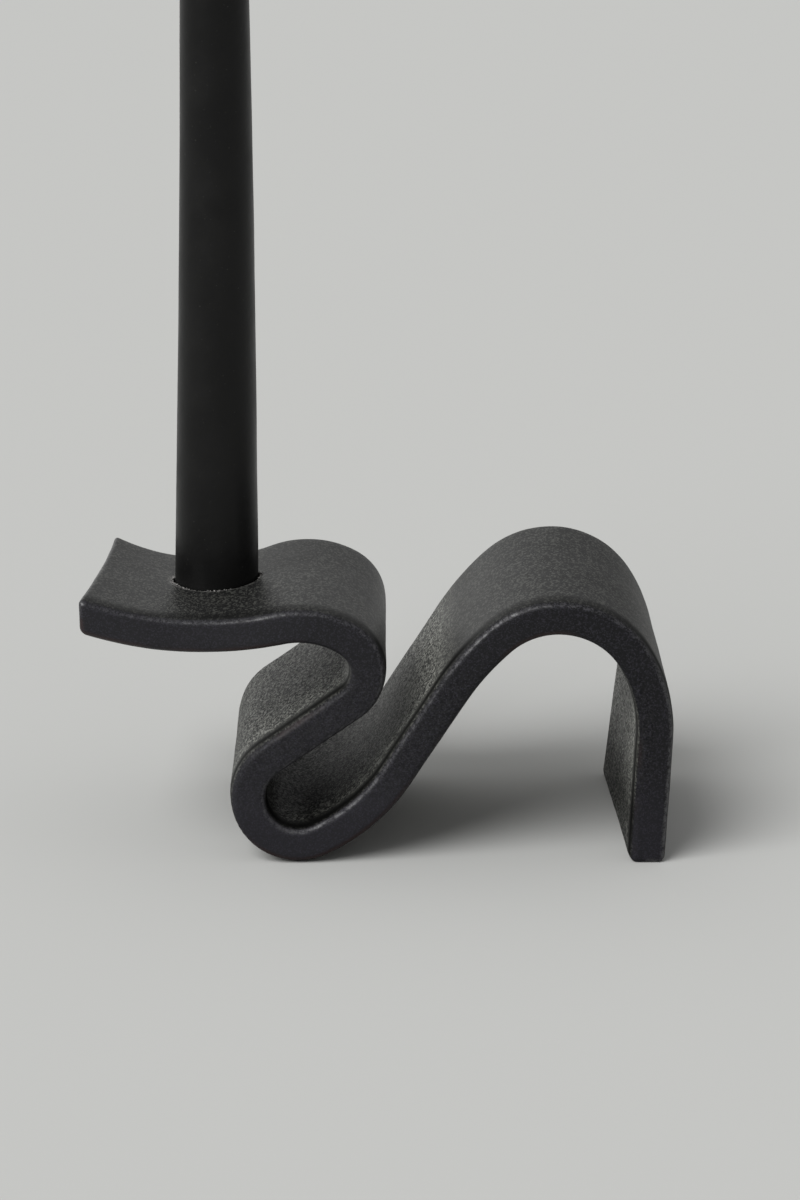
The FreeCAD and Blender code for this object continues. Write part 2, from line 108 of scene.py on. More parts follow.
class Graph:
    """Adds nodes to a shader or geometry tree and wires them.

    The short methods take values or outputs of nodes, and give the new node's output.
    """

    def __init__(self, tree: bpy.types.NodeTree) -> None:
        """Start on the node tree that is filled."""
        self.tree = tree

    def fill(self, node: bpy.types.Node, inputs: dict[Any, Any]) -> None:
        """Set a node's inputs, or link outputs to them.

        Args:
            node: the node.
            inputs: socket name or number, to a value or to another node's output.
        """
        for key, value in inputs.items():
            if isinstance(value, bpy.types.NodeSocket):
                self.tree.links.new(value, node.inputs[key])
            else:
                node.inputs[key].default_value = value

    def node(self, kind: str, inputs: dict[Any, Any] | None = None, **settings: Any) -> Any:
        """Add one node.

        Args:
            kind: the node's type name.
            inputs: socket name or number, to a value or to another node's output.
            settings: the node's own properties.

        Returns:
            The new node.
        """
        node = self.tree.nodes.new(kind)
        for name, value in settings.items():
            setattr(node, name, value)
        self.fill(node, inputs or {})
        return node

    def math(self, operation: str, first: Any, second: Any = 0.0) -> Any:
        """One arithmetic step."""
        inputs = {0: first, 1: second}
        return self.node("ShaderNodeMath", inputs, operation=operation).outputs[0]

    def times(self, first: Any, *others: Any) -> Any:
        """Everything multiplied together."""
        return reduce(lambda so_far, other: self.math("MULTIPLY", so_far, other), others, first)

    def rest(self, share: Any) -> Any:
        """What a share leaves of 1."""
        return self.math("SUBTRACT", 1.0, share)

    def between(self, share: Any, low: float, high: float) -> Any:
        """A number that goes from low to high as the share goes from 0 to 1."""
        inputs = {0: share, 1: high - low, 2: low}
        return self.node("ShaderNodeMath", inputs, operation="MULTIPLY_ADD").outputs[0]

    def vector(self, operation: str, first: Any, second: Any = (0.0, 0.0, 0.0)) -> Any:
        """One step of vector arithmetic."""
        inputs = {0: first, 1: second}
        return self.node("ShaderNodeVectorMath", inputs, operation=operation).outputs[0]

    def scaled(self, vector: Any, factor: Any) -> Any:
        """A vector times a number."""
        inputs = {"Vector": vector, "Scale": factor}
        return self.node("ShaderNodeVectorMath", inputs, operation="SCALE").outputs[0]

    def blended(self, first: Any, second: Any, share: Any) -> Any:
        """A vector that goes from the first to the second as the share goes from 0 to 1."""
        step = self.scaled(self.vector("SUBTRACT", second, first), share)
        return self.vector("ADD", first, step)

    def noise(self, place: Any, scale: Any, detail: float = 2.0, seed: Any = 0.0) -> Any:
        """Noise about 0.5 on average, its scale in patches per metre, its seed the pattern."""
        inputs = {"Vector": place, "W": seed, "Scale": scale, "Detail": detail}
        return self.node("ShaderNodeTexNoise", inputs, noise_dimensions="4D").outputs[0]

    def ramp(self, value: Any, low: float, high: float) -> Any:
        """A value eased so that low gives 0 and high gives 1, and kept between."""
        inputs = {"Value": value, "From Min": low, "From Max": high}
        return self.node("ShaderNodeMapRange", inputs, interpolation_type="SMOOTHSTEP").outputs[0]

    def mixed(self, share: Any, first: Any, second: Any) -> Any:
        """A colour between two others.

        Args:
            share: value or output.
            first: colour at a share of 0.
            second: colour at a share of 1.

        Returns:
            The result's colour output.
        """
        node = self.node("ShaderNodeMix", data_type="RGBA")
        used = [index for index, item in enumerate(node.inputs) if item.enabled]
        values = [(*value, 1.0) if isinstance(value, tuple) else value for value in (first, second)]
        self.fill(node, dict(zip(used, (share, *values))))
        return next(item for item in node.outputs if item.enabled)

    def mark(self, mark: Mark) -> Any:
        """A value kept at the points of a piece."""
        return self.node("ShaderNodeAttribute", attribute_name=mark.value).outputs["Fac"]


class Finish:
    """Base of every finish: a material with one Principled shader, wired by its class."""

    name = "finish"

    def material(self) -> bpy.types.Material:
        """Make the material.

        Returns:
            The new material.
        """
        material = bpy.data.materials.new(self.name)
        material.use_nodes = True
        graph = Graph(material.node_tree)
        graph.fill(material.node_tree.nodes["Principled BSDF"], self.inputs(graph))
        return material

    def inputs(self, graph: Graph) -> dict[str, Any]:
        """Values and outputs for the shader, by the names of its inputs."""
        raise NotImplementedError

    @staticmethod
    def place(graph: Graph) -> Any:
        """The point on the piece, in its own coordinates."""
        return graph.node("ShaderNodeTexCoord").outputs["Object"]

    @staticmethod
    def bump(graph: Graph, height: Any, depth: float) -> Any:
        """The normal of a surface whose height from 0 to 1 stands for a real depth."""
        inputs = {"Height": height, "Distance": depth, "Strength": 1.0}
        return graph.node("ShaderNodeBump", inputs).outputs["Normal"]


@dataclass(frozen=True)
class ClayPoint:
    """Outputs that say where on the strip a point lies, and in which grain of sand."""

    place: Any
    x: Any
    low: Any
    deep: Any
    side: Any
    edge: Any
    groove: Any
    grain: Any
    dome: Any
    fine: Any
    open_grain: Any


@dataclass(frozen=True)
class FiredClay(Finish):
    """Black, sandy clay, open-grained low down and worn on top, with painted light and painted
    shade.

    Each span holds the value at which something starts and the one at which it is complete.
    """

    name: str = "fired_clay"
    top_color: Rgb = (0.013, 0.013, 0.013)
    # Painted light: lower parts are painted paler than the tops.
    sheltered_color: Rgb = (0.041, 0.042, 0.036)
    # Painted light: lower parts towards the foot are painted paler still.
    lee_color: Rgb = (0.104, 0.105, 0.094)
    # Painted shade: darker towards the table.
    deep_color: Rgb = (0.007, 0.007, 0.006)
    # Painted shade: the cut sides are painted darker.
    side_color: Rgb = (0.0050, 0.0050, 0.0060)
    # Cloudy tone of the cut sides, also painted in towards the left and near the table as painted
    # light.
    side_cloud_color: Rgb = (0.0205, 0.0200, 0.0230)
    # Pale grains: partly the sand's own colour, partly painted glints.
    pale_grain_color: Rgb = (0.200, 0.203, 0.180)
    # Painted light: pale grains low down towards the foot are paler still.
    lee_grain_color: Rgb = (0.345, 0.350, 0.312)
    side_grain_color: Rgb = (0.035, 0.033, 0.043)
    # Dark pores, and the line of painted shade inside the near edges.
    pore_color: Rgb = (0.003, 0.003, 0.003)
    # Rounded edges: partly wear, partly a painted highlight.
    edge_color: Rgb = (0.045, 0.044, 0.050)
    under_color: Rgb = (0.060, 0.026, 0.016)
    chip_color: Rgb = (0.26, 0.25, 0.24)
    grain_scale: float = 2300.0
    grain_stretch: float = 0.52
    grain_depth: float = 0.09 * MM
    fine_scale: float = 3400.0
    wear_scale: float = 650.0
    cloud_scale: float = 42.0
    stroke_scale: float = 900.0
    stroke_stretch: float = 0.07
    stroke_share: float = 0.25
    low_heights: Span = (57.0 * MM, 44.0 * MM)
    deep_heights: Span = (30.0 * MM, 9.0 * MM)
    line_heights: Span = (70.0 * MM, 54.0 * MM)
    # Span of X over which the painted light towards the foot comes in.
    lee_places: Span = (2.0 * MM, 16.0 * MM)
    dull_places: Span = (22.0 * MM, 68.0 * MM)
    # Span of X over which the cut sides' painted light grows towards the left.
    slip_places: Span = (70.0 * MM, -40.0 * MM)
    pale_span: Span = (0.57, 0.87)
    pore_span: Span = (0.50, 0.25)
    cloud_span: Span = (0.38, 0.64)
    sparkle_span: Span = (0.55, 0.95)
    scratch_span: Span = (0.20, 0.80)
    under_span: Span = (0.45, 0.62)
    chip_span: Span = (0.55, 0.75)
    wear_span: Span = (0.30, 0.62)
    fleck_span: Span = (-0.60, 0.60)
    stain_shares: Span = (0.42, 0.65)
    # Painted light: cut sides paler towards the table.
    deep_stain: float = 0.75
    # Painted shade: fewer pale grains towards the table.
    sunk_share: float = 0.75
    faint_line_share: float = 0.35
    # Strength of the line of painted shade.
    groove_share: float = 0.92
    worn_share: float = 0.21
    side_share: float = 0.50
    dull_share: float = 0.70
    edge_tint: float = 0.5
    under_tint: float = 0.25
    top_roughness: float = 0.42
    roughness: float = 0.52
    edge_roughness: float = 0.38
    top_specular: float = 0.16
    specular: float = 0.45
    side_specular: float = 0.20
    edge_specular: float = 0.68
    grain_gloss: float = 1.8
    deep_gloss: float = 0.20

    def inputs(self, graph: Graph) -> dict[str, Any]:
        """Wire the clay.

        Args:
            graph: the material's nodes.

        Returns:
            The shader's inputs.
        """
        at = self.survey(graph)
        rough = graph.between(at.low, self.top_roughness, self.roughness)
        polish = graph.times(at.edge, self.edge_roughness - self.top_roughness)
        sand = graph.times(at.dome, at.grain, at.open_grain)
        lines = graph.times(self.strokes(graph), self.stroke_share)
        return {
            "Base Color": self.color(graph, at),
            "Roughness": graph.math("ADD", rough, polish),
            "Specular IOR Level": self.gloss(graph, at),
            "Normal": self.bump(graph, graph.math("ADD", sand, lines), self.grain_depth),
        }

    def survey(self, graph: Graph) -> ClayPoint:
        """Find out how low, deep, worn and open-grained each point is, and where the painted shade
        line runs.

        Args:
            graph: the material's nodes.

        Returns:
            Its outputs.
        """
        place = self.place(graph)
        across, _, height = graph.node("ShaderNodeSeparateXYZ", {0: place}).outputs
        side = graph.mark(Mark.SIDE)
        drawn = graph.vector("MULTIPLY", place, (1.0, self.grain_stretch, 1.0))
        grain, dome = self.grains(graph, drawn, self.grain_scale)
        low = graph.ramp(height, *self.low_heights)
        low = graph.times(low, graph.rest(graph.mark(Mark.OUTER)))
        # The line of painted shade, faint on the tops.
        clear = graph.between(graph.ramp(height, *self.line_heights), self.faint_line_share, 1.0)
        groove = graph.times(graph.mark(Mark.GROOVE), clear, self.groove_share)
        calm = graph.rest(graph.times(side, 1.0 - self.side_share))
        broad = graph.between(low, self.worn_share, 1.0)
        return ClayPoint(
            place=place,
            x=across,
            low=low,
            deep=graph.ramp(height, *self.deep_heights),
            side=side,
            edge=graph.mark(Mark.EDGE),
            groove=groove,
            grain=grain,
            dome=dome,
            fine=self.grains(graph, place, self.fine_scale)[0],
            open_grain=graph.times(broad, calm, graph.rest(groove)),
        )

    def color(self, graph: Graph, at: ClayPoint) -> Any:
        """Colour of the clay with its painted light and shade, its grains and pores, worn edges with
        a painted highlight, and chipped rim.

        Args:
            graph: the material's nodes.
            at: the point.

        Returns:
            The colour's output.
        """
        # Painted light towards the foot: lower parts there are painted paler still.
        foot_side_light = graph.ramp(at.x, *self.lee_places)
        # Painted light: lower parts are painted paler than the tops.
        low_painted_light = graph.mixed(foot_side_light, self.sheltered_color, self.lee_color)
        color = graph.mixed(at.low, self.top_color, low_painted_light)
        # Painted shade: darker towards the table.
        color = graph.mixed(at.deep, color, self.deep_color)
        # Painted shade: fewer pale grains towards the table.
        outside_painted_shade = graph.rest(graph.times(at.deep, self.sunk_share))
        # Pale grains: partly the sand's own colour, partly painted glints of grains catching the
        # light.
        pale = graph.times(graph.ramp(at.grain, *self.pale_span), at.open_grain, outside_painted_shade)
        # Painted light: the pale grains are paler still low down towards the foot.
        open_foot_side_light = graph.times(foot_side_light, at.low)
        bright = graph.mixed(open_foot_side_light, self.pale_grain_color, self.lee_grain_color)
        color = graph.mixed(pale, color, bright)
        pores = graph.times(graph.ramp(at.grain, *self.pore_span), at.open_grain)
        color = graph.mixed(pores, color, self.pore_color)
        cloud = graph.noise(at.place, self.cloud_scale, detail=3.0, seed=3.0)
        # The cut sides are painted darker, as painted shade.
        color = graph.mixed(at.side, color, self.cut_color(graph, at, cloud))
        # Rounded edges painted paler: partly wear, partly a painted highlight.
        worn = graph.times(at.edge, graph.ramp(at.fine, *self.scratch_span), self.edge_tint)
        color = graph.mixed(worn, color, self.edge_color)
        warm = graph.times(graph.ramp(cloud, *self.under_span), self.under_tint)
        warm = graph.times(graph.mark(Mark.UNDER), warm)
        color = graph.mixed(warm, color, self.under_color)
        # Painted shade: a dark line just inside the near edges.
        color = graph.mixed(at.groove, color, self.pore_color)
        chips = graph.times(graph.mark(Mark.RIM), graph.ramp(at.fine, *self.chip_span))
        return graph.mixed(chips, color, self.chip_color)

    def cut_color(self, graph: Graph, at: ClayPoint, cloud: Any) -> Any:
        """Colour of the cut sides: painted darker as painted shade, with a cloudy tone, painted
        paler towards the left and near the table as painted light, and fine grains.

        Args:
            graph: the material's nodes.
            at: the point.
            cloud: broad noise.

        Returns:
            The colour's output.
        """
        tone_and_painted_light = graph.between(graph.ramp(cloud, *self.cloud_span), *self.stain_shares)
        # Painted light: the cloudy tone grows towards the left and near the table.
        tone_and_painted_light = graph.times(tone_and_painted_light, graph.ramp(at.x, *self.slip_places))
        tone_and_painted_light = graph.math("ADD", tone_and_painted_light, graph.times(at.deep, self.deep_stain))
        cut = graph.mixed(tone_and_painted_light, self.side_color, self.side_cloud_color)
        sparkle = graph.times(graph.ramp(at.fine, *self.sparkle_span), self.side_share)
        return graph.mixed(sparkle, cut, self.side_grain_color)

    def gloss(self, graph: Graph, at: ClayPoint) -> Any:
        """How much the clay shines: unevenly in its grain, most along its rounded edges.

        Args:
            graph: the material's nodes.
            at: the point.

        Returns:
            The specular level's output.
        """
        dull = graph.times(graph.ramp(at.x, *self.dull_places), graph.rest(at.low))
        dull = graph.rest(graph.times(dull, self.dull_share))
        gloss = graph.between(at.low, self.top_specular, self.specular)
        gloss = graph.times(gloss, dull, graph.rest(at.side))
        gloss = graph.math("ADD", gloss, graph.times(at.side, self.side_specular))
        uneven = graph.times(graph.math("SUBTRACT", at.grain, 0.5), self.grain_gloss)
        uneven = graph.math("ADD", graph.times(uneven, at.open_grain), 1.0)
        # Shine lowered towards the table, as painted shade.
        dim = graph.rest(graph.times(at.deep, 1.0 - self.deep_gloss))
        # No shine on the line of painted shade.
        gloss = graph.times(gloss, graph.rest(at.groove), uneven, dim)
        patches = graph.noise(at.place, self.wear_scale, seed=8.0)
        flecks = graph.ramp(at.fine, *self.fleck_span)
        shine = graph.times(graph.ramp(patches, *self.wear_span), flecks, at.edge)
        return graph.math("MAXIMUM", gloss, graph.times(shine, self.edge_specular))

    @staticmethod
    def grains(graph: Graph, place: Any, scale: float) -> tuple[Any, Any]:
        """Grains of sand side by side.

        Args:
            graph: the material's nodes.
            place: the point on the piece.
            scale: grains in one metre.

        Returns:
            Each grain's own value from 0 to 1, and its dome, 1 in its middle.
        """
        cells = graph.node("ShaderNodeTexVoronoi", {"Vector": place, "Scale": scale})
        value = graph.node("ShaderNodeSeparateColor", {0: cells.outputs["Color"]}).outputs[0]
        return value, graph.rest(cells.outputs["Distance"])

    def strokes(self, graph: Graph) -> Any:
        """Faint strokes along the strip, left by smoothing it.

        Args:
            graph: the material's nodes.

        Returns:
            The strokes' output, from 0 to 1.
        """
        place = graph.node("ShaderNodeUVMap", uv_map=PLACE_MAP).outputs["UV"]
        inputs = {"Vector": place, "Scale": (self.stroke_stretch, 1.0, 1.0)}
        drawn_out = graph.node("ShaderNodeMapping", inputs).outputs[0]
        return graph.noise(drawn_out, self.stroke_scale, detail=3.0, seed=5.0)


@dataclass(frozen=True)
class BlackWax(Finish):
    """Black candle wax: a soft sheen, faint bloom and dust."""

    name: str = "black_wax"
    color: Rgb = (0.0025, 0.0025, 0.0025)
    bloom_color: Rgb = (0.0055, 0.0054, 0.0052)
    dust_color: Rgb = (0.06, 0.06, 0.055)
    bloom_scale: float = 60.0
    bloom_span: Span = (0.35, 0.75)
    dust_scale: float = 1500.0
    dust_span: Span = (0.68, 0.78)
    dust_share: float = 0.6
    dimple_scale: float = 260.0
    dimple_depth: float = 0.10 * MM
    roughness: float = 0.36
    bloom_roughness: float = 0.50
    specular: float = 0.22

    def inputs(self, graph: Graph) -> dict[str, Any]:
        """Wire the wax's bloom, dust and dimples.

        Args:
            graph: the material's nodes.

        Returns:
            The shader's inputs.
        """
        place = self.place(graph)
        bloom = graph.noise(place, self.bloom_scale, detail=4.0, seed=1.0)
        bloom = graph.ramp(bloom, *self.bloom_span)
        dust = graph.ramp(graph.noise(place, self.dust_scale, seed=2.0), *self.dust_span)
        color = graph.mixed(bloom, self.color, self.bloom_color)
        dimples = graph.noise(place, self.dimple_scale, detail=3.0, seed=3.0)
        return {
            "Base Color": graph.mixed(graph.times(dust, self.dust_share), color, self.dust_color),
            "Roughness": graph.between(bloom, self.roughness, self.bloom_roughness),
            "Specular IOR Level": self.specular,
            "Normal": self.bump(graph, dimples, self.dimple_depth),
        }


@dataclass(frozen=True)
class WickCotton(Finish):
    """Bleached cotton, dipped in wax."""

    name: str = "wick_cotton"
    color: Rgb = (0.72, 0.67, 0.57)
    waxed_color: Rgb = (0.40, 0.36, 0.29)
    fibre_scale: float = 2600.0
    fibre_depth: float = 0.05 * MM
    patch_scale: float = 300.0
    patch_span: Span = (0.40, 0.62)
    roughnesses: Span = (0.6, 0.8)

    def inputs(self, graph: Graph) -> dict[str, Any]:
        """Wire the cotton's fibres and waxed patches.

        Args:
            graph: the material's nodes.

        Returns:
            The shader's inputs.
        """
        place = self.place(graph)
        fibre = graph.noise(place, self.fibre_scale, detail=3.0, seed=1.0)
        patch = graph.ramp(graph.noise(place, self.patch_scale, seed=2.0), *self.patch_span)
        return {
            "Base Color": graph.mixed(patch, self.color, self.waxed_color),
            "Roughness": graph.between(fibre, *self.roughnesses),
            "Normal": self.bump(graph, fibre, self.fibre_depth),
        }


@dataclass(frozen=True)
class ChippedClay(Finish):
    """Pale grit broken from the socket's rim."""

    name: str = "chipped_clay"
    pale_color: Rgb = (0.27, 0.26, 0.25)
    dark_color: Rgb = (0.05, 0.05, 0.048)
    tone_scale: float = 900.0
    tone_span: Span = (0.38, 0.62)
    grit_depth: float = 0.05 * MM
    roughness: float = 0.85

    def inputs(self, graph: Graph) -> dict[str, Any]:
        """Wire the grit's two tones.

        Args:
            graph: the material's nodes.

        Returns:
            The shader's inputs.
        """
        tone = graph.noise(self.place(graph), self.tone_scale, seed=4.0)
        share = graph.ramp(tone, *self.tone_span)
        return {
            "Base Color": graph.mixed(share, self.dark_color, self.pale_color),
            "Roughness": self.roughness,
            "Normal": self.bump(graph, tone, self.grit_depth),
        }


@dataclass(frozen=True)
class StudioFloor(Finish):
    """Plain, pale grey, matt floor."""

    name: str = "studio_floor"
    color: Rgb = (0.545, 0.548, 0.535)
    roughness: float = 0.9

    def inputs(self, graph: Graph) -> dict[str, Any]:
        """The floor's even colour, with no shine."""
        look = {"Base Color": (*self.color, 1.0), "Roughness": self.roughness}
        return look | {"Specular IOR Level": 0.0}


SOCKETS = {
    float: "NodeSocketFloat",
    int: "NodeSocketInt",
    bpy.types.Object: "NodeSocketObject",
    bpy.types.Material: "NodeSocketMaterial",
}


def tree_values(source: Any, *names: str) -> dict[str, Any]:
    """Values of an object's fields, under their names as inputs of a node tree."""
    return {name.replace("_", " ").title(): getattr(source, name) for name in names}


class Tree:
    """A geometry node tree with named inputs, run on one piece."""

    def __init__(self, name: str, values: dict[str, Any]) -> None:
        """Make the tree and its inputs.

        Args:
            name: the tree's name.
            values: each input's name and value, among them the material.
        """
        self.values = values
        self.group = bpy.data.node_groups.new(name, "GeometryNodeTree")
        self.group.is_modifier = True
        face = self.group.interface
        for way in ("INPUT", "OUTPUT"):
            face.new_socket("Geometry", in_out=way, socket_type="NodeSocketGeometry")
        for label, value in values.items():
            socket = next(socket for kind, socket in SOCKETS.items() if isinstance(value, kind))
            face.new_socket(label, in_out="INPUT", socket_type=socket)
        self.graph = Graph(self.group)
        self.source = self.graph.node("NodeGroupInput").outputs

    def close(self, geometry: Any) -> None:
        """End the tree in real geometry with its material.

        Args:
            geometry: output of the finished geometry.
        """
        real = self.graph.node("GeometryNodeRealizeInstances", {0: geometry})
        inputs = {"Geometry": real.outputs[0], "Material": self.source["Material"]}
        dressed = self.graph.node("GeometryNodeSetMaterial", inputs)
        self.graph.node("NodeGroupOutput", {0: dressed.outputs[0]})

    def apply(self, name: str, piece: bpy.types.Object) -> bpy.types.Object:
        """Run the tree on a piece and keep the result as a plain mesh.

        Args:
            name: name of the finished piece.
            piece: the object that the tree starts from, which is deleted.

        Returns:
            The finished piece, with no modifier.
        """
        modifier = piece.modifiers.new(self.group.name, "NODES")
        modifier.node_group = self.group
        sockets = {item.name: item.identifier for item in self.group.interface.items_tree}
        for label, value in self.values.items():
            modifier[sockets[label]] = value
        bpy.context.view_layer.update()
        graph = bpy.context.evaluated_depsgraph_get()
        mesh = bpy.data.meshes.new_from_object(piece.evaluated_get(graph))
        mesh.name = name
        bpy.data.objects.remove(piece)
        return linked(bpy.data.objects.new(name, mesh))


@dataclass(frozen=True)
class HandWork:
    """Slow waves and small dents that hands leave on soft clay and wax."""

    wave_height: float
    wave_scale: float
    dent_height: float
    dent_scale: float
    seed: float

    def values(self) -> dict[str, Any]:
        """Inputs of a node tree that works its piece over."""
        return tree_values(self, *(item.name for item in fields(self)))

    @staticmethod
    def work_over(tree: Tree, geometry: Any) -> Any:
        """Push a piece's points out and in, as far as each is soft.

        Args:
            tree: a tree with the inputs above.
            geometry: output of the geometry so far.

        Returns:
            The changed geometry's output.
        """
        graph, source = tree.graph, tree.source
        place = graph.node("GeometryNodeInputPosition").outputs[0]
        normal = graph.node("GeometryNodeInputNormal").outputs[0]
        pushes = []
        for label, detail in (("Wave", 1.0), ("Dent", 2.0)):
            noise = graph.noise(place, source[f"{label} Scale"], detail, source["Seed"])
            pushes.append(graph.times(graph.between(noise, -1.0, 1.0), source[f"{label} Height"]))
        inputs = {"Name": Mark.SOFT.value}
        soft = graph.node("GeometryNodeInputNamedAttribute", inputs, data_type="FLOAT")
        push = graph.times(graph.math("ADD", *pushes), soft.outputs[0])
        inputs = {"Geometry": geometry, "Offset": graph.scaled(normal, push)}
        return graph.node("GeometryNodeSetPosition", inputs).outputs[0]


def linked(item: bpy.types.Object) -> bpy.types.Object:
    """Put an object into the scene and return it."""
    bpy.context.scene.collection.objects.link(item)
    return item


def poly_curve(
    name: str,
    points: Iterable[Sequence[float]],
    closed: bool = False,
) -> bpy.types.Object:
    """A curve of straight steps through points.

    Args:
        name: the curve's name.
        points: places in metres.
        closed: whether its ends meet.

    Returns:
        The curve's object.
    """
    rows = [tuple(point) for point in points]
    curve = bpy.data.curves.new(name, "CURVE")
    curve.dimensions = "3D"
    spline = curve.splines.new("POLY")
    spline.points.add(len(rows) - 1)
    for point, row in zip(spline.points, rows):
        point.co = (*row, 1.0)
    spline.use_cyclic_u = closed
    return linked(bpy.data.objects.new(name, curve))


def face_mesh(name: str, points: np.ndarray, faces: np.ndarray) -> bpy.types.Mesh:
    """A bare mesh of points and faces.

    Args:
        name: the mesh's name.
        points: one row for each point.
        faces: one row of point numbers for each face.

    Returns:
        The mesh.
    """
    mesh = bpy.data.meshes.new(name)
    mesh.from_pydata(points.tolist(), [], faces.tolist())
    return mesh


def quads(numbers: np.ndarray, closed: bool = True) -> np.ndarray:
    """Faces between neighbouring rows of points.

    Args:
        numbers: point numbers, one row for each ring or line.
        closed: whether each row meets its own start.

    Returns:
        Four point numbers for each face, in rows like the points.
    """
    after = np.roll(numbers, -1, axis=1)
    faces = np.stack([numbers[:-1], after[:-1], after[1:], numbers[1:]], axis=-1)
    return faces if closed else faces[:, :-1]


def tidy_mesh(mesh: bpy.types.Mesh, merge: float) -> None:
    """Merge a mesh's doubles, point its faces outwards and shade it smooth.

    Args:
        mesh: the mesh, changed in place.
        merge: distance under which two points are one.
    """
    work = bmesh.new()
    work.from_mesh(mesh)
    loose = [vert for vert in work.verts if not vert.link_faces]
    bmesh.ops.delete(work, geom=loose, context="VERTS")
    bmesh.ops.remove_doubles(work, verts=work.verts, dist=merge)
    bmesh.ops.dissolve_degenerate(work, edges=work.edges, dist=merge)
    bmesh.ops.recalc_face_normals(work, faces=work.faces)
    for face in work.faces:
        face.smooth = True
    work.to_mesh(mesh)
    work.free()


def smooth_step(share: np.ndarray) -> np.ndarray:
    """A share from 0 to 1 eased at both ends."""
    kept = np.clip(share, 0.0, 1.0)
    return kept * kept * (3.0 - 2.0 * kept)


def steps_to(whole: float, count: int) -> np.ndarray:
    """A number of equal steps up to a whole, without 0."""
    return np.linspace(0.0, whole, count + 1)[1:]


class Pen:
    """Walks along arcs and straight runs and keeps points on the way."""

    step = 0.4 * MM

    def __init__(self, across: float, up: float, heading: float) -> None:
        """Start at a point.

        Args:
            across: place along X.
            up: place along Z.
            heading: direction of travel in degrees, 0 along +X and 90 up.
        """
        self.points = [(across, up)]
        self.heading = heading

    def run(self, length: float) -> None:
        """Go straight on.

        Args:
            length: distance.
        """
        across, up = self.points[-1]
        angle = math.radians(self.heading)
        count = max(1, math.ceil(length / self.step))
        for index in range(1, count + 1):
            gone = length * index / count
            self.points.append((across + gone * math.cos(angle), up + gone * math.sin(angle)))

    def bend(self, radius: float, turn: float, left: bool = True) -> tuple[float, float]:
        """Go round an arc.

        Args:
            radius: the arc's radius.
            turn: how far the heading changes.
            left: whether it turns to the left.

        Returns:
            The arc's middle.
        """
        side = 1.0 if left else -1.0
        across, up = self.points[-1]
        start = math.radians(self.heading - side * QUARTER_TURN)
        middle = (across - radius * math.cos(start), up - radius * math.sin(start))
        count = max(1, math.ceil(radius * math.radians(turn) / self.step))
        for index in range(1, count + 1):
            angle = start + side * math.radians(turn) * index / count
            spot = (middle[0] + radius * math.cos(angle), middle[1] + radius * math.sin(angle))
            self.points.append(spot)
        self.heading += side * turn
        return middle


FAR_EDGE = {
    "shelf_height": -3.1 * MM,
    "shelf_radius": -39.0 * MM,
    "shelf_turn": 18.2,
    "shelf_climb": 8.9,
    "crown_turn": 4.9,
    "rise_turn": 2.5,
    "ramp_length": 0.9 * MM,
    "arch_radius": -1.6 * MM,
    "knee_turn": 3.9,
    "leg_lean": 3.9,
}


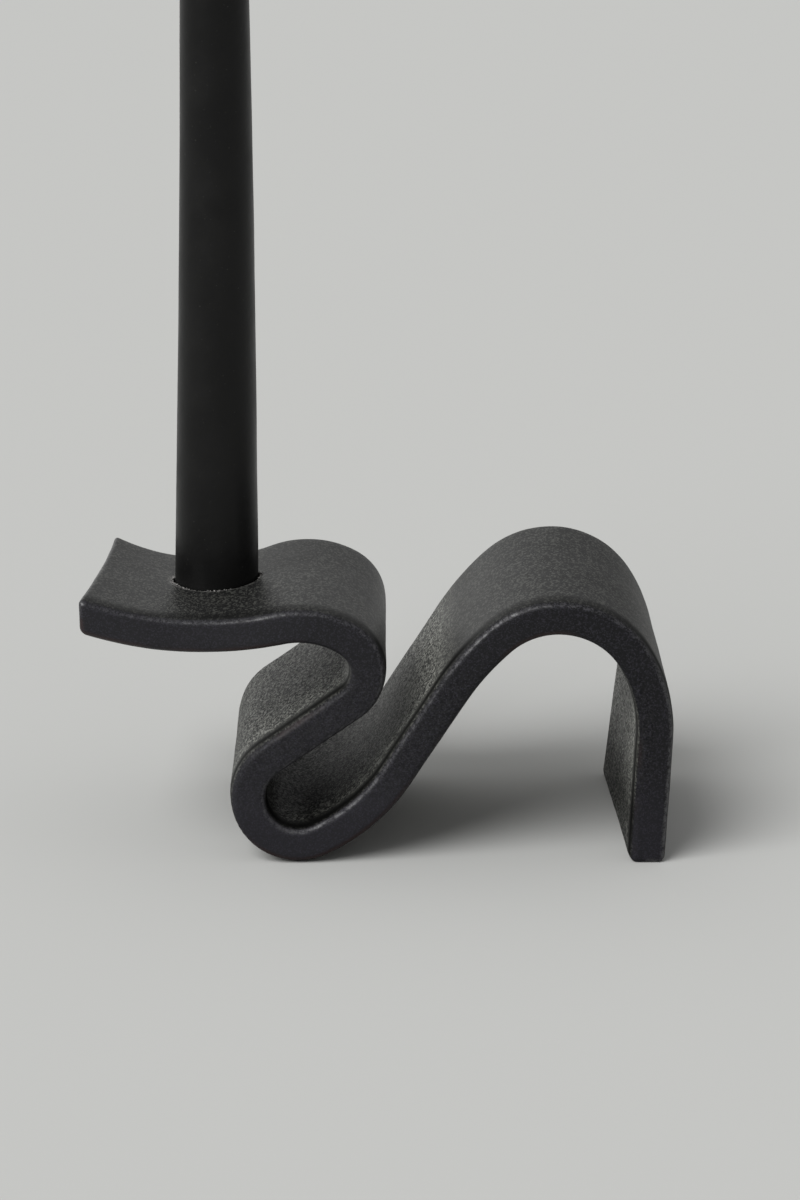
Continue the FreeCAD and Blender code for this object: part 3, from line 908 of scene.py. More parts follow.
@dataclass(frozen=True)
class EdgeLine:
    """Upper face of the strip along one long edge, from the tip to below the foot.

    Lengths are in metres, angles in degrees, and X counts from the loop's axis.
    """

    thickness: float = 9.5 * MM
    shelf_height: float = 65.3 * MM
    shelf_radius: float = 90.0 * MM
    shelf_turn: float = 28.7
    shelf_climb: float = 11.7
    crown_radius: float = 28.3 * MM
    crown_turn: float = 44.5
    bend_radius: float = 14.9 * MM
    diagonal_slope: float = 34.9
    loop_radius: float = 7.9 * MM
    rise_radius: float = 44.0 * MM
    rise_turn: float = 32.0
    ramp_length: float = 25.7 * MM
    ramp_slope: float = 57.2
    shoulder_radius: float = 74.0 * MM
    shoulder_turn: float = 15.1
    arch_radius: float = 27.6 * MM
    knee_radius: float = 42.3 * MM
    knee_turn: float = 34.4
    leg_lean: float = 2.7
    spare: float = 12.0 * MM

    def far(self) -> "EdgeLine":
        """The far edge, which the hand that bent the strip left a little different."""
        sizes = {name: getattr(self, name) + change for name, change in FAR_EDGE.items()}
        return replace(self, **sizes)

    def bend_turn(self) -> float:
        """Turn of the tight bend under the shelf."""
        return HALF_TURN + self.shelf_climb - self.diagonal_slope - self.crown_turn

    def loop_turn(self) -> float:
        """Turn of the loop on the table."""
        return HALF_TURN - self.diagonal_slope + self.ramp_slope - self.rise_turn

    def arch_turn(self) -> float:
        """Turn of the top of the arch."""
        turned = self.shoulder_turn + self.knee_turn
        return QUARTER_TURN + self.ramp_slope + self.leg_lean - turned

    def diagonal_length(self, start_height: float) -> float:
        """Length of the diagonal that puts the shelf's lowest line at its height.

        Args:
            start_height: height of the diagonal's lower end.

        Returns:
            The length.
        """
        heading = self.diagonal_slope
        height = start_height
        arcs = ((self.bend_radius, self.bend_turn()), (self.crown_radius, self.crown_turn))
        for radius, turn in arcs:
            height += radius * math.cos(math.radians(heading))
            heading += turn
            height -= radius * math.cos(math.radians(heading))
        height -= self.shelf_radius * math.cos(math.radians(heading))
        rise = self.shelf_height + self.shelf_radius - height
        return rise / math.sin(math.radians(self.diagonal_slope))

    def points(self) -> tuple[np.ndarray, float]:
        """Points along the line.

        Returns:
            One row of X and Z for each point, from the tip on, and the place along X of the
            shelf's lowest line.
        """
        slope = math.radians(self.diagonal_slope)
        start = (
            -self.loop_radius * math.sin(slope),
            self.thickness + self.loop_radius * (1.0 + math.cos(slope)),
        )
        ahead = Pen(*start, self.diagonal_slope - HALF_TURN)
        ahead.bend(self.loop_radius, self.loop_turn())
        ahead.bend(self.rise_radius, self.rise_turn)
        ahead.run(self.ramp_length)
        ahead.bend(self.shoulder_radius, self.shoulder_turn, left=False)
        ahead.bend(self.arch_radius, self.arch_turn(), left=False)
        ahead.bend(self.knee_radius, self.knee_turn, left=False)
        ahead.run(ahead.points[-1][1] + self.spare)

        back = Pen(*start, self.diagonal_slope)
        back.run(self.diagonal_length(start[1]))
        back.bend(self.bend_radius, self.bend_turn())
        back.bend(self.crown_radius, self.crown_turn)
        middle = back.bend(self.shelf_radius, self.shelf_turn, left=False)
        back.run(self.spare + self.thickness)
        return np.array(back.points[:0:-1] + ahead.points), middle[0]


class StripPath:
    """The bent strip as a rule: flat places along, across and through it become real ones."""

    samples = 1500
    solve_rounds = 12
    flatten_rounds = 25
    flatten_pace = 0.7

    def __init__(self, near: np.ndarray, far: np.ndarray, width: float) -> None:
        """Keep both edges in equal steps.

        Args:
            near: points of the near edge, X and Z.
            far: points of the far edge, X and Z.
            width: the strip's width.
        """
        self.width = width
        self.lines = []
        lengths = []
        for points in (near, far):
            steps = np.hypot(*np.diff(points, axis=0).T)
            gone = np.concatenate(([0.0], np.cumsum(steps)))
            even = np.linspace(0.0, gone[-1], self.samples)
            line = np.column_stack([np.interp(even, gone, points[:, axis]) for axis in (0, 1)])
            self.lines.append(line)
            lengths.append(gone[-1])
        self.length = float(np.mean(lengths))

    def curve_points(self, is_far: bool) -> np.ndarray:
        """Points in space of the near or the far edge."""
        line, across = self.lines[is_far], self.width * (is_far - 0.5)
        return np.column_stack([line[:, 0], np.full(len(line), across), line[:, 1]])

    def section(self, along: np.ndarray, across: np.ndarray) -> tuple[np.ndarray, ...]:
        """The upper face and its directions at flat places.

        Args:
            along: distances from the tip.
            across: places across the strip, 0 in its middle.

        Returns:
            Points, tangents and upward normals, each with X and Z.
        """
        share = np.clip(along / self.length, 0.0, 1.0)
        far_share = (across / self.width + 0.5)[:, None]
        grid = np.linspace(0.0, 1.0, self.samples)

        def read(rows: np.ndarray) -> np.ndarray:
            """A line's rows at the wanted shares."""
            return np.column_stack([np.interp(share, grid, rows[:, axis]) for axis in (0, 1)])

        spots, tangents = [], []
        for line in self.lines:
            slope = np.gradient(line, axis=0)
            slope /= np.hypot(*slope.T)[:, None]
            spots.append(read(line))
            tangents.append(read(slope))
        spot = spots[0] + (spots[1] - spots[0]) * far_share
        tangent = tangents[0] + (tangents[1] - tangents[0]) * far_share
        tangent /= np.hypot(*tangent.T)[:, None]
        return spot, tangent, np.column_stack([-tangent[:, 1], tangent[:, 0]])

    def solve(
        self,
        along: np.ndarray,
        across: np.ndarray,
        through: np.ndarray,
        target: np.ndarray,
        axis: int,
    ) -> np.ndarray:
        """Move flat places along the strip until one real coordinate is right.

        Args:
            along: first guess of the distances from the tip.
            across: places across the strip.
            through: places through the strip, 0 on its upper face and negative below.
            target: the wanted coordinate of each.
            axis: 0 for X and 1 for Z.

        Returns:
            The distances from the tip.
        """
        found = along.copy()
        for _ in range(self.solve_rounds):
            spot, tangent, normal = self.section(found, across)
            now = spot[:, axis] + through * normal[:, axis]
            found += (target - now) / tangent[:, axis]
        return found

    def flatten(self, points: np.ndarray, guess: float) -> np.ndarray:
        """Flat places of real points.

        Args:
            points: rows of X, Y and Z.
            guess: distance from the tip near which they lie.

        Returns:
            Rows of along, across and through.
        """
        along = np.full(len(points), guess)
        across = points[:, 1]
        through = np.zeros(len(points))
        for _ in range(self.flatten_rounds):
            spot, tangent, normal = self.section(along, across)
            miss = points[:, [0, 2]] - spot
            through = (miss * normal).sum(1)
            along += (miss * tangent).sum(1) * self.flatten_pace
        return np.column_stack([along, across, through])


@dataclass
class ClayRibbon:
    """The holder: one strip of clay laid out flat, with its socket, and bent."""

    width: float = 78.0 * MM
    thickness: float = 9.5 * MM
    edge_round: float = 1.7 * MM
    tip_reach: float = 31.8 * MM
    tip_skew: float = 4.3 * MM
    tip_hollow: float = 0.9 * MM
    trim_zone: float = 14.0 * MM
    socket_play: float = 0.5 * MM
    candle_off_centre: float = 0.15 * MM
    rim_round: float = 0.6 * MM
    roll_drop: float = 0.65 * MM
    roll_reach: float = 6.5 * MM
    far_roll_share: float = 0.35
    line_start: float = 1.0 * MM
    line_rise: float = 1.2 * MM
    line_end: float = 8.2 * MM
    line_fade: float = 4.8 * MM
    edge_share: float = 0.15
    side_reach: float = 0.5
    face_share: float = 0.9
    rim_depth_share: float = 1.05
    soft_reach: float = 3.0 * MM
    end_guess: float = 10.0 * MM
    cell: float = 0.95 * MM
    corner_steps: int = 5
    apron_steps: int = 7
    wall_steps: int = 6
    floor_steps: int = 8
    patch_margin: float = 5.0 * MM
    merge: float = 0.02 * MM
    hand: HandWork = HandWork(0.30 * MM, 26.0, 0.09 * MM, 130.0, 4.0)
    finish: FiredClay = FiredClay()

    def __post_init__(self) -> None:
        """Work out the path of the strip and the socket's place from the frame."""
        edge = EdgeLine(thickness=self.thickness)
        near, shelf_line = edge.points()
        far, _ = edge.far().points()
        self.tip_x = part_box(Node.RIBBON.value)[0].x
        self.loop_axis = self.tip_x + self.tip_reach - shelf_line
        for points in (near, far):
            points[:, 0] += self.loop_axis
        self.path = StripPath(near, far, self.width)
        candle = CandlePlace()
        self.socket_radius = candle.radius + self.socket_play
        self.socket_x = candle.x + self.candle_off_centre
        self.socket_y = candle.y
        self.socket_z = candle.foot
        self.half_flat = self.width / 2.0 - self.edge_round

    def profile(self, inset: float, counts: tuple[int, int]) -> np.ndarray:
        """Outline of the strip's section, drawn in by some distance.

        Args:
            inset: how far it is drawn in.
            counts: steps across the strip and down its side.

        Returns:
            Rows of across and through, going round from the upper face's near end.
        """
        across_count, side_count = counts
        radius, flat = self.edge_round - inset, self.half_flat
        high, low = -self.edge_round, self.edge_round - self.thickness
        turn = steps_to(math.pi / 2.0, self.corner_steps)
        half = [(flat * step, -inset) for step in np.linspace(-1.0, 1.0, across_count + 1)]
        half += [(flat + radius * math.sin(a), high + radius * math.cos(a)) for a in turn]
        half += [(flat + radius, spot) for spot in np.linspace(high, low, side_count + 1)[1:]]
        half += [(flat + radius * math.cos(a), low - radius * math.sin(a)) for a in turn[:-1]]
        rows = np.array(half)
        return np.concatenate([rows, (0.0, -self.thickness) - rows])

    def flat_strip(self) -> tuple[np.ndarray, np.ndarray, dict[Mark, np.ndarray]]:
        """The strip laid out flat: a slab with round edges and the socket in its shelf.

        Returns:
            Points, faces, and the marks of each point.
        """
        length = self.foot_distance() - self.tip_distance()
        across_count = round(2.0 * self.half_flat / self.cell)
        side_count = round((self.thickness - 2.0 * self.edge_round) / self.cell)
        turn = np.linspace(0.0, math.pi / 2.0, self.corner_steps + 1)
        depths = self.edge_round * (1.0 - np.cos(turn))
        insets = self.edge_round * (1.0 - np.sin(turn))
        body_count = round((length - 2.0 * self.edge_round) / self.cell)
        body = np.linspace(self.edge_round, length - self.edge_round, body_count + 1)[1:-1]
        places = np.concatenate([depths, body, length - depths[::-1]])
        drawn_in = np.concatenate([insets, np.zeros(len(body)), insets[::-1]])
        profiles = [self.profile(inset, (across_count, side_count)) for inset in drawn_in]
        around = len(profiles[0])
        slab = np.column_stack([np.repeat(places, around), np.concatenate(profiles)])
        hole, socket_faces, wall = self.socket_patch(slab, places, across_count, around)
        slab_faces = quads(np.arange(len(slab)).reshape(-1, around))
        kept = np.ones(slab_faces.shape[:2], bool)
        kept[hole] = False
        faces = [slab_faces[kept], socket_faces]
        points = np.concatenate([slab, wall])

        across = np.linspace(-self.half_flat, self.half_flat, across_count + 1)
        through = np.linspace(-self.edge_round, self.edge_round - self.thickness, side_count + 1)
        cap = np.array([(0.0, spot, depth) for spot in across for depth in through])
        for place in (0.0, length):
            numbers = len(points) + np.arange(len(cap)).reshape(len(across), -1)
            faces.append(quads(numbers, closed=False).reshape(-1, 4))
            points = np.concatenate([points, cap + (place, 0.0, 0.0)])
        socket = np.zeros(len(points), bool)
        socket[len(slab) : len(slab) + len(wall)] = True
        marks = self.marks(points, socket, length)
        return self.trimmed(points, socket, length), np.concatenate(faces), marks

    def distance(self, guess: float, target: float, axis: int) -> float:
        """Distance along the strip's middle at which X (axis 0) or Z (axis 1) is as wanted."""
        rows = [np.array([value]) for value in (guess, 0.0, 0.0, target)]
        return float(self.path.solve(*rows, axis)[0])

    def foot_distance(self) -> float:
        """Distance along the strip at which its middle reaches the table."""
        return self.distance(self.path.length - self.end_guess, 0.0, 1)

    def tip_distance(self) -> float:
        """Distance along the strip at which its middle reaches the tip's cut."""
        return self.distance(self.end_guess, self.tip_x + self.tip_skew / 2.0 + self.tip_hollow, 0)

    def surface_height(self, across: np.ndarray, place: np.ndarray, guess: float) -> np.ndarray:
        """Height of the shelf's upper face over Y and X, near a distance from the tip."""
        along = self.path.solve(np.full(len(place), guess), across, np.zeros(len(place)), place, 0)
        return self.path.section(along, across)[0][:, 1]

    def socket_patch(
        self,
        points: np.ndarray,
        places: np.ndarray,
        across_count: int,
        around: int,
    ) -> tuple[tuple[slice, slice], np.ndarray, np.ndarray]:
        """The socket, joined to the slab's upper face by rings.

        Args:
            points: points of the slab's rings.
            places: distance of each ring.
            across_count: steps across the upper face.
            around: points of one ring.

        Returns:
            The rings and the steps across that it replaces, its faces, and its points.
        """
        wide = self.socket_radius + self.rim_round
        reach = wide + self.patch_margin
        start = self.tip_distance()
        middle = self.distance(start + reach * 2.0, self.socket_x, 0) - start
        first_ring, last_ring = np.searchsorted(places, [middle - reach, middle + reach]).tolist()
        grid = np.linspace(-self.half_flat, self.half_flat, across_count + 1)
        limits = [self.socket_y - reach, self.socket_y + reach]
        first_step, last_step = np.searchsorted(grid, limits).tolist()

        border = [first_ring * around + step for step in range(first_step, last_step)]
        border += [ring * around + last_step for ring in range(first_ring, last_ring)]
        border += [last_ring * around + step for step in range(last_step, first_step, -1)]
        border += [ring * around + first_step for ring in range(last_ring, first_ring, -1)]
        edge = points[border]
        angle = np.arctan2(edge[:, 1] - self.socket_y, edge[:, 0] - middle)

        def plan(radius: float) -> tuple[np.ndarray, np.ndarray]:
            """Real Y and X of a circle round the socket's axis."""
            return self.socket_y + radius * np.sin(angle), self.socket_x + radius * np.cos(angle)

        def circle(radius: float, heights: np.ndarray) -> np.ndarray:
            """Flat places of a circle round the socket's axis, at real heights."""
            deep, across = plan(radius)
            flat = self.path.flatten(np.column_stack([across, deep, heights]), middle + start)
            flat[:, 0] -= start
            return flat

        top = self.surface_height(*plan(wide), middle + start)
        rim = circle(wide, top)
        rings = [edge + (rim - edge) * share for share in steps_to(1.0, self.apron_steps)]
        for turn in steps_to(math.pi / 2.0, self.corner_steps):
            radius = self.socket_radius + self.rim_round * (1.0 - math.sin(turn))
            rings.append(circle(radius, top - self.rim_round * (1.0 - math.cos(turn))))
        lip = top - self.rim_round
        for share in steps_to(1.0, self.wall_steps):
            rings.append(circle(self.socket_radius, lip + (self.socket_z - lip) * share))
        floor = np.full(len(angle), self.socket_z)
        for share in np.linspace(1.0, 0.0, self.floor_steps + 1)[1:]:
            rings.append(circle(self.socket_radius * share, floor))

        wall = np.concatenate(rings)
        numbers = len(points) + np.arange(len(wall)).reshape(len(rings), -1)
        faces = quads(np.vstack([border, numbers])).reshape(-1, 4)
        return (slice(first_ring, last_ring), slice(first_step, last_step)), faces, wall

    def marks(
        self,
        points: np.ndarray,
        socket: np.ndarray,
        length: float,
    ) -> dict[Mark, np.ndarray]:
        """How much of an edge, side or rim each point of the slab is.

        Args:
            points: flat places before the ends are trimmed.
            socket: which points belong to the socket's patch.
            length: the slab's length.

        Returns:
            One value from 0 to 1 for each point and mark.
        """
        inner_low = np.array([self.edge_round, -self.half_flat, self.edge_round - self.thickness])
        inner_high = np.array([length - self.edge_round, self.half_flat, -self.edge_round])
        offset = np.abs(points - np.clip(points, inner_low, inner_high)) / self.edge_round
        edge = np.clip((1.0 - offset.max(1)) / self.edge_share, 0.0, 1.0)
        edge[socket] = 0.0
        below = points[:, 2] < -self.thickness / 2.0
        inset = self.width / 2.0 - np.abs(points[:, 1])
        # Where the line of painted shade runs, just inside the near edge.
        groove = smooth_step((inset - self.line_start) / self.line_rise)
        groove *= smooth_step((self.line_end - inset) / self.line_fade)
        on_face = np.abs(2.0 * points[:, 2] / self.thickness + 1.0) > self.face_share
        on_face &= points[:, 1] < 0.0
        heights = self.path.lines[0][:, 1]
        half = len(heights) // 2
        crest = (half + heights[half:].argmax()) / len(heights) * self.path.length
        crest -= self.tip_distance()
        past_crest = smooth_step((points[:, 0] - crest) / self.trim_zone)
        middle = points[socket][-1]
        radius = np.hypot(points[:, 0] - middle[0], points[:, 1] - self.socket_y)
        deep = socket & (points[:, 2] < -self.rim_round * self.rim_depth_share)
        from_rim = (radius - self.socket_radius - self.rim_round / 2.0) / self.rim_round
        soft = np.where(deep, 0.0, smooth_step((radius - self.socket_radius) / self.soft_reach))
        return {
            Mark.EDGE: np.where(below, 0.0, edge),
            Mark.UNDER: np.where(below, edge, 0.0),
            Mark.GROOVE: np.where(on_face & ~socket, groove, 0.0),
            Mark.SIDE: np.clip(offset[:, 1] / self.side_reach, 0.0, 1.0),
            Mark.RIM: np.where(socket & ~deep, np.exp(-(from_rim**2)), 0.0),
            Mark.SOFT: np.where(socket, soft, 1.0),
            Mark.OUTER: np.where(below, 0.0, past_crest),
        }

    def trimmed(self, points: np.ndarray, socket: np.ndarray, length: float) -> np.ndarray:
        """Shift the slab's ends so that the bent strip ends at its two cuts.

        Args:
            points: flat places.
            socket: which points belong to the socket's patch, which stay.
            length: the slab's length.

        Returns:
            The flat places, counted from the start of the path.
        """
        start = self.tip_distance()
        moved = points.copy()
        moved[:, 0] += start
        across, through = points[:, 1], points[:, 2]
        far_share = across / self.width + 0.5
        hollow = self.tip_hollow * 4.0 * far_share * (1.0 - far_share)
        cut = self.tip_x + self.tip_skew * far_share + hollow
        tip = self.path.solve(np.full(len(points), start), across, through, cut, 0)
        table = np.zeros(len(points))
        end = self.path.solve(np.full(len(points), start + length), across, through, table, 1)
        near_tip = smooth_step(1.0 - points[:, 0] / self.trim_zone)
        near_foot = smooth_step(1.0 - (length - points[:, 0]) / self.trim_zone)
        shift = near_tip * (tip - start) + near_foot * (end - start - length)
        moved[:, 0] += np.where(socket, 0.0, shift)
        return moved

    def rolled(self, points: np.ndarray, marks: dict[Mark, np.ndarray]) -> np.ndarray:
        """Let both faces roll off towards the long edges, most at the near one.

        Args:
            points: flat places.
            marks: marks of each point.

        Returns:
            The changed places.
        """
        inset = self.width / 2.0 - np.abs(points[:, 1])
        share = np.clip(1.0 - inset / self.roll_reach, 0.0, 1.0) ** 2
        share *= np.where(points[:, 1] > 0.0, self.far_roll_share, 1.0)
        outward = np.clip(2.0 * points[:, 2] / self.thickness + 1.0, -1.0, 1.0)
        changed = points.copy()
        changed[:, 2] -= self.roll_drop * share * outward * marks[Mark.SOFT]
        return changed

    @staticmethod
    def bend_tree(values: dict[str, Any]) -> Tree:
        """Node tree that bends a flat strip along two edge lines and works it over by hand.

        Args:
            values: the tree's inputs.

        Returns:
            The tree.
        """
        tree = Tree("bend_strip", values)
        graph, source = tree.graph, tree.source
        place = graph.node("GeometryNodeInputPosition").outputs[0]
        along, across, through = graph.node("ShaderNodeSeparateXYZ", {0: place}).outputs[:3]
        share = graph.math("DIVIDE", along, source["Path Length"])
        far_share = graph.math("ADD", graph.math("DIVIDE", across, source["Strip Width"]), 0.5)
        spots, normals = [], []
        for label in ("Near Edge", "Far Edge"):
            info = graph.node("GeometryNodeObjectInfo", {"Object": source[label]})
            inputs = {"Curves": info.outputs["Geometry"], "Factor": share}
            sample = graph.node("GeometryNodeSampleCurve", inputs, mode="FACTOR").outputs
            spots.append(sample["Position"])
            normals.append(graph.vector("CROSS_PRODUCT", sample["Tangent"], (0.0, 1.0, 0.0)))
        up = graph.vector("NORMALIZE", graph.blended(*normals, far_share))
        spot = graph.blended(*spots, far_share)
        bent_place = graph.vector("ADD", spot, graph.scaled(up, through))
        inputs = {"Geometry": source["Geometry"], "Position": bent_place}
        bent = graph.node("GeometryNodeSetPosition", inputs).outputs[0]
        worked = HandWork.work_over(tree, bent)
        place = graph.node("GeometryNodeInputPosition").outputs[0]
        above_table = graph.vector("MAXIMUM", place, (-1.0, -1.0, 0.0))
        inputs = {"Geometry": worked, "Position": above_table}
        tree.close(graph.node("GeometryNodeSetPosition", inputs).outputs[0])
        return tree

    def build(self) -> bpy.types.Object:
        """Lay out the strip, bend it and dress it.

        Returns:
            The finished ribbon.
        """
        points, faces, marks = self.flat_strip()
        points = self.rolled(points, marks)
        mesh = face_mesh("flat_strip", points, faces)
        for mark, values in marks.items():
            mesh.attributes.new(mark.value, "FLOAT", "POINT").data.foreach_set("value", values)
        layer = mesh.uv_layers.new(name=PLACE_MAP)
        corners = np.zeros(len(mesh.loops), np.int32)
        mesh.loops.foreach_get("vertex_index", corners)
        layer.data.foreach_set("uv", points[corners][:, :2].ravel())
        tidy_mesh(mesh, self.merge)
        strip = linked(bpy.data.objects.new("flat_strip", mesh))
        near, far = (
            poly_curve(f"{label}_edge", self.path.curve_points(label == "far"))
            for label in ("near", "far")
        )
        values = {
            "Near Edge": near,
            "Far Edge": far,
            "Path Length": self.path.length,
            "Strip Width": self.width,
            **self.hand.values(),
            "Material": self.finish.material(),
        }
        ribbon = self.bend_tree(values).apply("hand_bent_ribbon", strip)
        for edge in (near, far):
            bpy.data.objects.remove(edge)
        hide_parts(Node.RIBBON.value)
        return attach(ribbon, Body.HOLDER.value)


class CandlePlace:
    """Where the candle stands, and how it bows to the right."""

    bow_reach = 1.3 * MM
    bow_height = 150.0 * MM

    def __init__(self) -> None:
        """Read the candle's box from the frame."""
        low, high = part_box(Node.TAPER.value)
        self.x, self.y, self.foot = (low.x + high.x) / 2.0, (low.y + high.y) / 2.0, low.z
        self.radius, self.length = (high.x - low.x) / 2.0, high.z - low.z

    def bow(self, above_foot: np.ndarray | float) -> np.ndarray | float:
        """How far the candle has bowed along X at heights above its foot."""
        share = np.clip(np.asarray(above_foot) / self.bow_height, 0.0, 1.0)
        return self.bow_reach * np.sin(share * math.pi / 2.0)


@dataclass
class RimGrit:
    """Pale grit and flakes along the worn rim of the socket."""

    ribbon: ClayRibbon
    count: int = 260
    smallest: float = 0.04 * MM
    largest: float = 0.22 * MM
    scatter: float = 0.45 * MM
    sink: float = 0.06 * MM
    patch_scale: float = 210.0
    patch_threshold: float = 0.49
    lump_scale: float = 1.3
    rim_share: float = 0.55
    rim_steps: int = 180
    seed: int = 11
    finish: ChippedClay = ChippedClay()

    def rim_points(self) -> np.ndarray:
        """Points round the rim, on the clay's surface.

        Returns:
            One row for each point.
        """
        ribbon = self.ribbon
        angle = np.linspace(0.0, 2.0 * math.pi, self.rim_steps, endpoint=False)
        radius = ribbon.socket_radius + ribbon.rim_round * self.rim_share
        across = ribbon.socket_y + radius * np.sin(angle)
        place = ribbon.socket_x + radius * np.cos(angle)
        guess = ribbon.tip_distance() + ribbon.tip_reach
        height = ribbon.surface_height(across, place, guess) - self.sink
        return np.column_stack([place, across, height])

    def tree(self) -> Tree:
        """Node tree that strews small lumps along a line, in patches.

        Returns:
            The tree.
        """
        names = ("count", "smallest", "largest", "scatter", "patch_scale", "patch_threshold", "seed")
        values = tree_values(self, *names) | {"Material": self.finish.material()}
        tree = Tree("strew_grit", values)
        graph, source = tree.graph, tree.source
        inputs = {"Curve": source["Geometry"], "Count": source["Count"]}
        spread = graph.node("GeometryNodeCurveToPoints", inputs, mode="COUNT")
        reach = source["Scatter"]
        low, high = (
            graph.node("ShaderNodeCombineXYZ", {0: side, 1: side, 2: 0.0}).outputs[0]
            for side in (graph.times(reach, -1.0), reach)
        )
        inputs = {0: low, 1: high, "Seed": source["Seed"]}
        shift = graph.node("FunctionNodeRandomValue", inputs, data_type="FLOAT_VECTOR")
        inputs = {"Geometry": spread.outputs["Points"], "Offset": shift.outputs[0]}
        moved = graph.node("GeometryNodeSetPosition", inputs)
        place = graph.node("GeometryNodeInputPosition").outputs[0]
        patch = graph.noise(place, source["Patch Scale"], seed=source["Seed"])
        kept = graph.math("GREATER_THAN", patch, source["Patch Threshold"])
        lump = graph.node("GeometryNodeMeshIcoSphere", {"Radius": 1.0, "Subdivisions": 2})
        inputs = {"Vector": place, "Scale": self.lump_scale}
        rough = graph.node("ShaderNodeTexNoise", inputs, noise_dimensions="3D")
        inputs = {"Geometry": lump.outputs["Mesh"], "Offset": graph.scaled(place, rough.outputs[0])}
        broken = graph.node("GeometryNodeSetPosition", inputs)
        limits = {2: source["Smallest"], 3: source["Largest"], "Seed": source["Seed"]}
        size = graph.node("FunctionNodeRandomValue", limits, data_type="FLOAT")
        turns = {0: (0.0, 0.0, 0.0), 1: (math.tau, math.tau, math.tau), "Seed": source["Seed"]}
        turn = graph.node("FunctionNodeRandomValue", turns, data_type="FLOAT_VECTOR")
        inputs = {
            "Points": moved.outputs[0],
            "Selection": kept,
            "Instance": broken.outputs[0],
            "Rotation": turn.outputs[0],
            "Scale": size.outputs[1],
        }
        tree.close(graph.node("GeometryNodeInstanceOnPoints", inputs).outputs[0])
        return tree

    def build(self) -> bpy.types.Object:
        """Strew the grit.

        Returns:
            The finished piece.
        """
        rim = poly_curve("rim_line", self.rim_points(), closed=True)
        grit = self.tree().apply("socket_rim_grit", rim)
        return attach(grit, Body.HOLDER.value)


@dataclass
class WaxTaper:
    """The taper candle, turned from its half section round a bore for the wick."""

    foot_round: float = 0.8 * MM
    shoulder_drop: float = 17.0 * MM
    shoulder_radius: float = 7.8 * MM
    tip_radius: float = 2.2 * MM
    tip_lip: float = 0.5 * MM
    nose_round_share: float = 0.5
    nose_ease_share: float = 0.25
    bore_radius: float = 1.15 * MM
    firm_share: float = 1.2
    soft_start: float = 1.6 * MM
    soft_reach: float = 14.0 * MM
    around: int = 120
    foot_steps: int = 5
    nose_steps: int = 14
    lip_steps: int = 4
    step: float = 1.4 * MM
    merge: float = 0.005 * MM
    hand: HandWork = HandWork(0.14 * MM, 30.0, 0.04 * MM, 150.0, 9.0)
    candle: CandlePlace = field(default_factory=CandlePlace)
    finish: BlackWax = BlackWax()

    def outline(self) -> np.ndarray:
        """Half section from the bore's foot round the outside to the bore's top.

        Returns:
            Rows of radius and height above the foot.
        """
        radius, length = self.candle.radius, self.candle.length
        shoulder = length - self.shoulder_drop
        rows = [(self.bore_radius, 0.0), (radius / 2.0, 0.0), (radius - self.foot_round, 0.0)]
        for angle in steps_to(math.pi / 2.0, self.foot_steps):
            width = radius - self.foot_round * (1.0 - math.sin(angle))
            rows.append((width, self.foot_round * (1.0 - math.cos(angle))))
        side = shoulder - self.foot_round
        for share in steps_to(1.0, round(side / self.step)):
            width = radius + (self.shoulder_radius - radius) * share
            rows.append((width, self.foot_round + side * share))
        lip_height = length - self.tip_lip
        for share in steps_to(1.0, self.nose_steps):
            curved = 1.0 - math.sqrt(max(0.0, 1.0 - share * share))
            drawn = share + (curved - share) * self.nose_round_share
            width = self.shoulder_radius + (self.tip_radius - self.shoulder_radius) * drawn
            eased = math.sin(share * math.pi / 2.0) ** 2
            risen = share + (eased - share) * self.nose_ease_share
            rows.append((width, shoulder + (lip_height - shoulder) * risen))
        for angle in steps_to(math.pi / 2.0, self.lip_steps):
            width = self.tip_radius - self.tip_lip * (1.0 - math.cos(angle))
            rows.append((width, lip_height + self.tip_lip * math.sin(angle)))
        rows.append((self.bore_radius, length))
        return np.array(rows)

    def turned_mesh(self) -> bpy.types.Mesh:
        """Turn the outline round the candle's bowed axis.

        Returns:
            The mesh, with how soft each point is.
        """
        rows = self.outline()
        angles = np.linspace(0.0, 2.0 * math.pi, self.around, endpoint=False)
        rings = []
        for radius, height in rows:
            across = self.candle.x + self.candle.bow(height) + radius * np.cos(angles)
            deep = self.candle.y + radius * np.sin(angles)
            up = np.full(self.around, self.candle.foot + height)
            rings.append(np.column_stack([across, deep, up]))
        numbers = np.arange(len(rows) * self.around).reshape(len(rows), -1)
        faces = quads(np.vstack([numbers, numbers[:1]])).reshape(-1, 4)
        mesh = face_mesh("turned_taper", np.concatenate(rings), faces)
        radius, height = np.repeat(rows, self.around, axis=0).T
        soft = smooth_step((height - self.soft_start) / self.soft_reach)
        soft = np.where(radius > self.bore_radius * self.firm_share, soft, 0.0)
        mesh.attributes.new(Mark.SOFT.value, "FLOAT", "POINT").data.foreach_set("value", soft)
        tidy_mesh(mesh, self.merge)
        return mesh

    def build(self) -> bpy.types.Object:
        """Turn the candle, dimple it and dress it.

        Returns:
            The finished candle.
        """
        turned = linked(bpy.data.objects.new("turned_taper", self.turned_mesh()))
        tree = Tree("work_wax", self.hand.values() | {"Material": self.finish.material()})
        tree.close(HandWork.work_over(tree, tree.source["Geometry"]))
        candle = tree.apply("dipped_taper", turned)
        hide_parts(Node.TAPER.value)
        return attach(candle, Body.CANDLE.value)


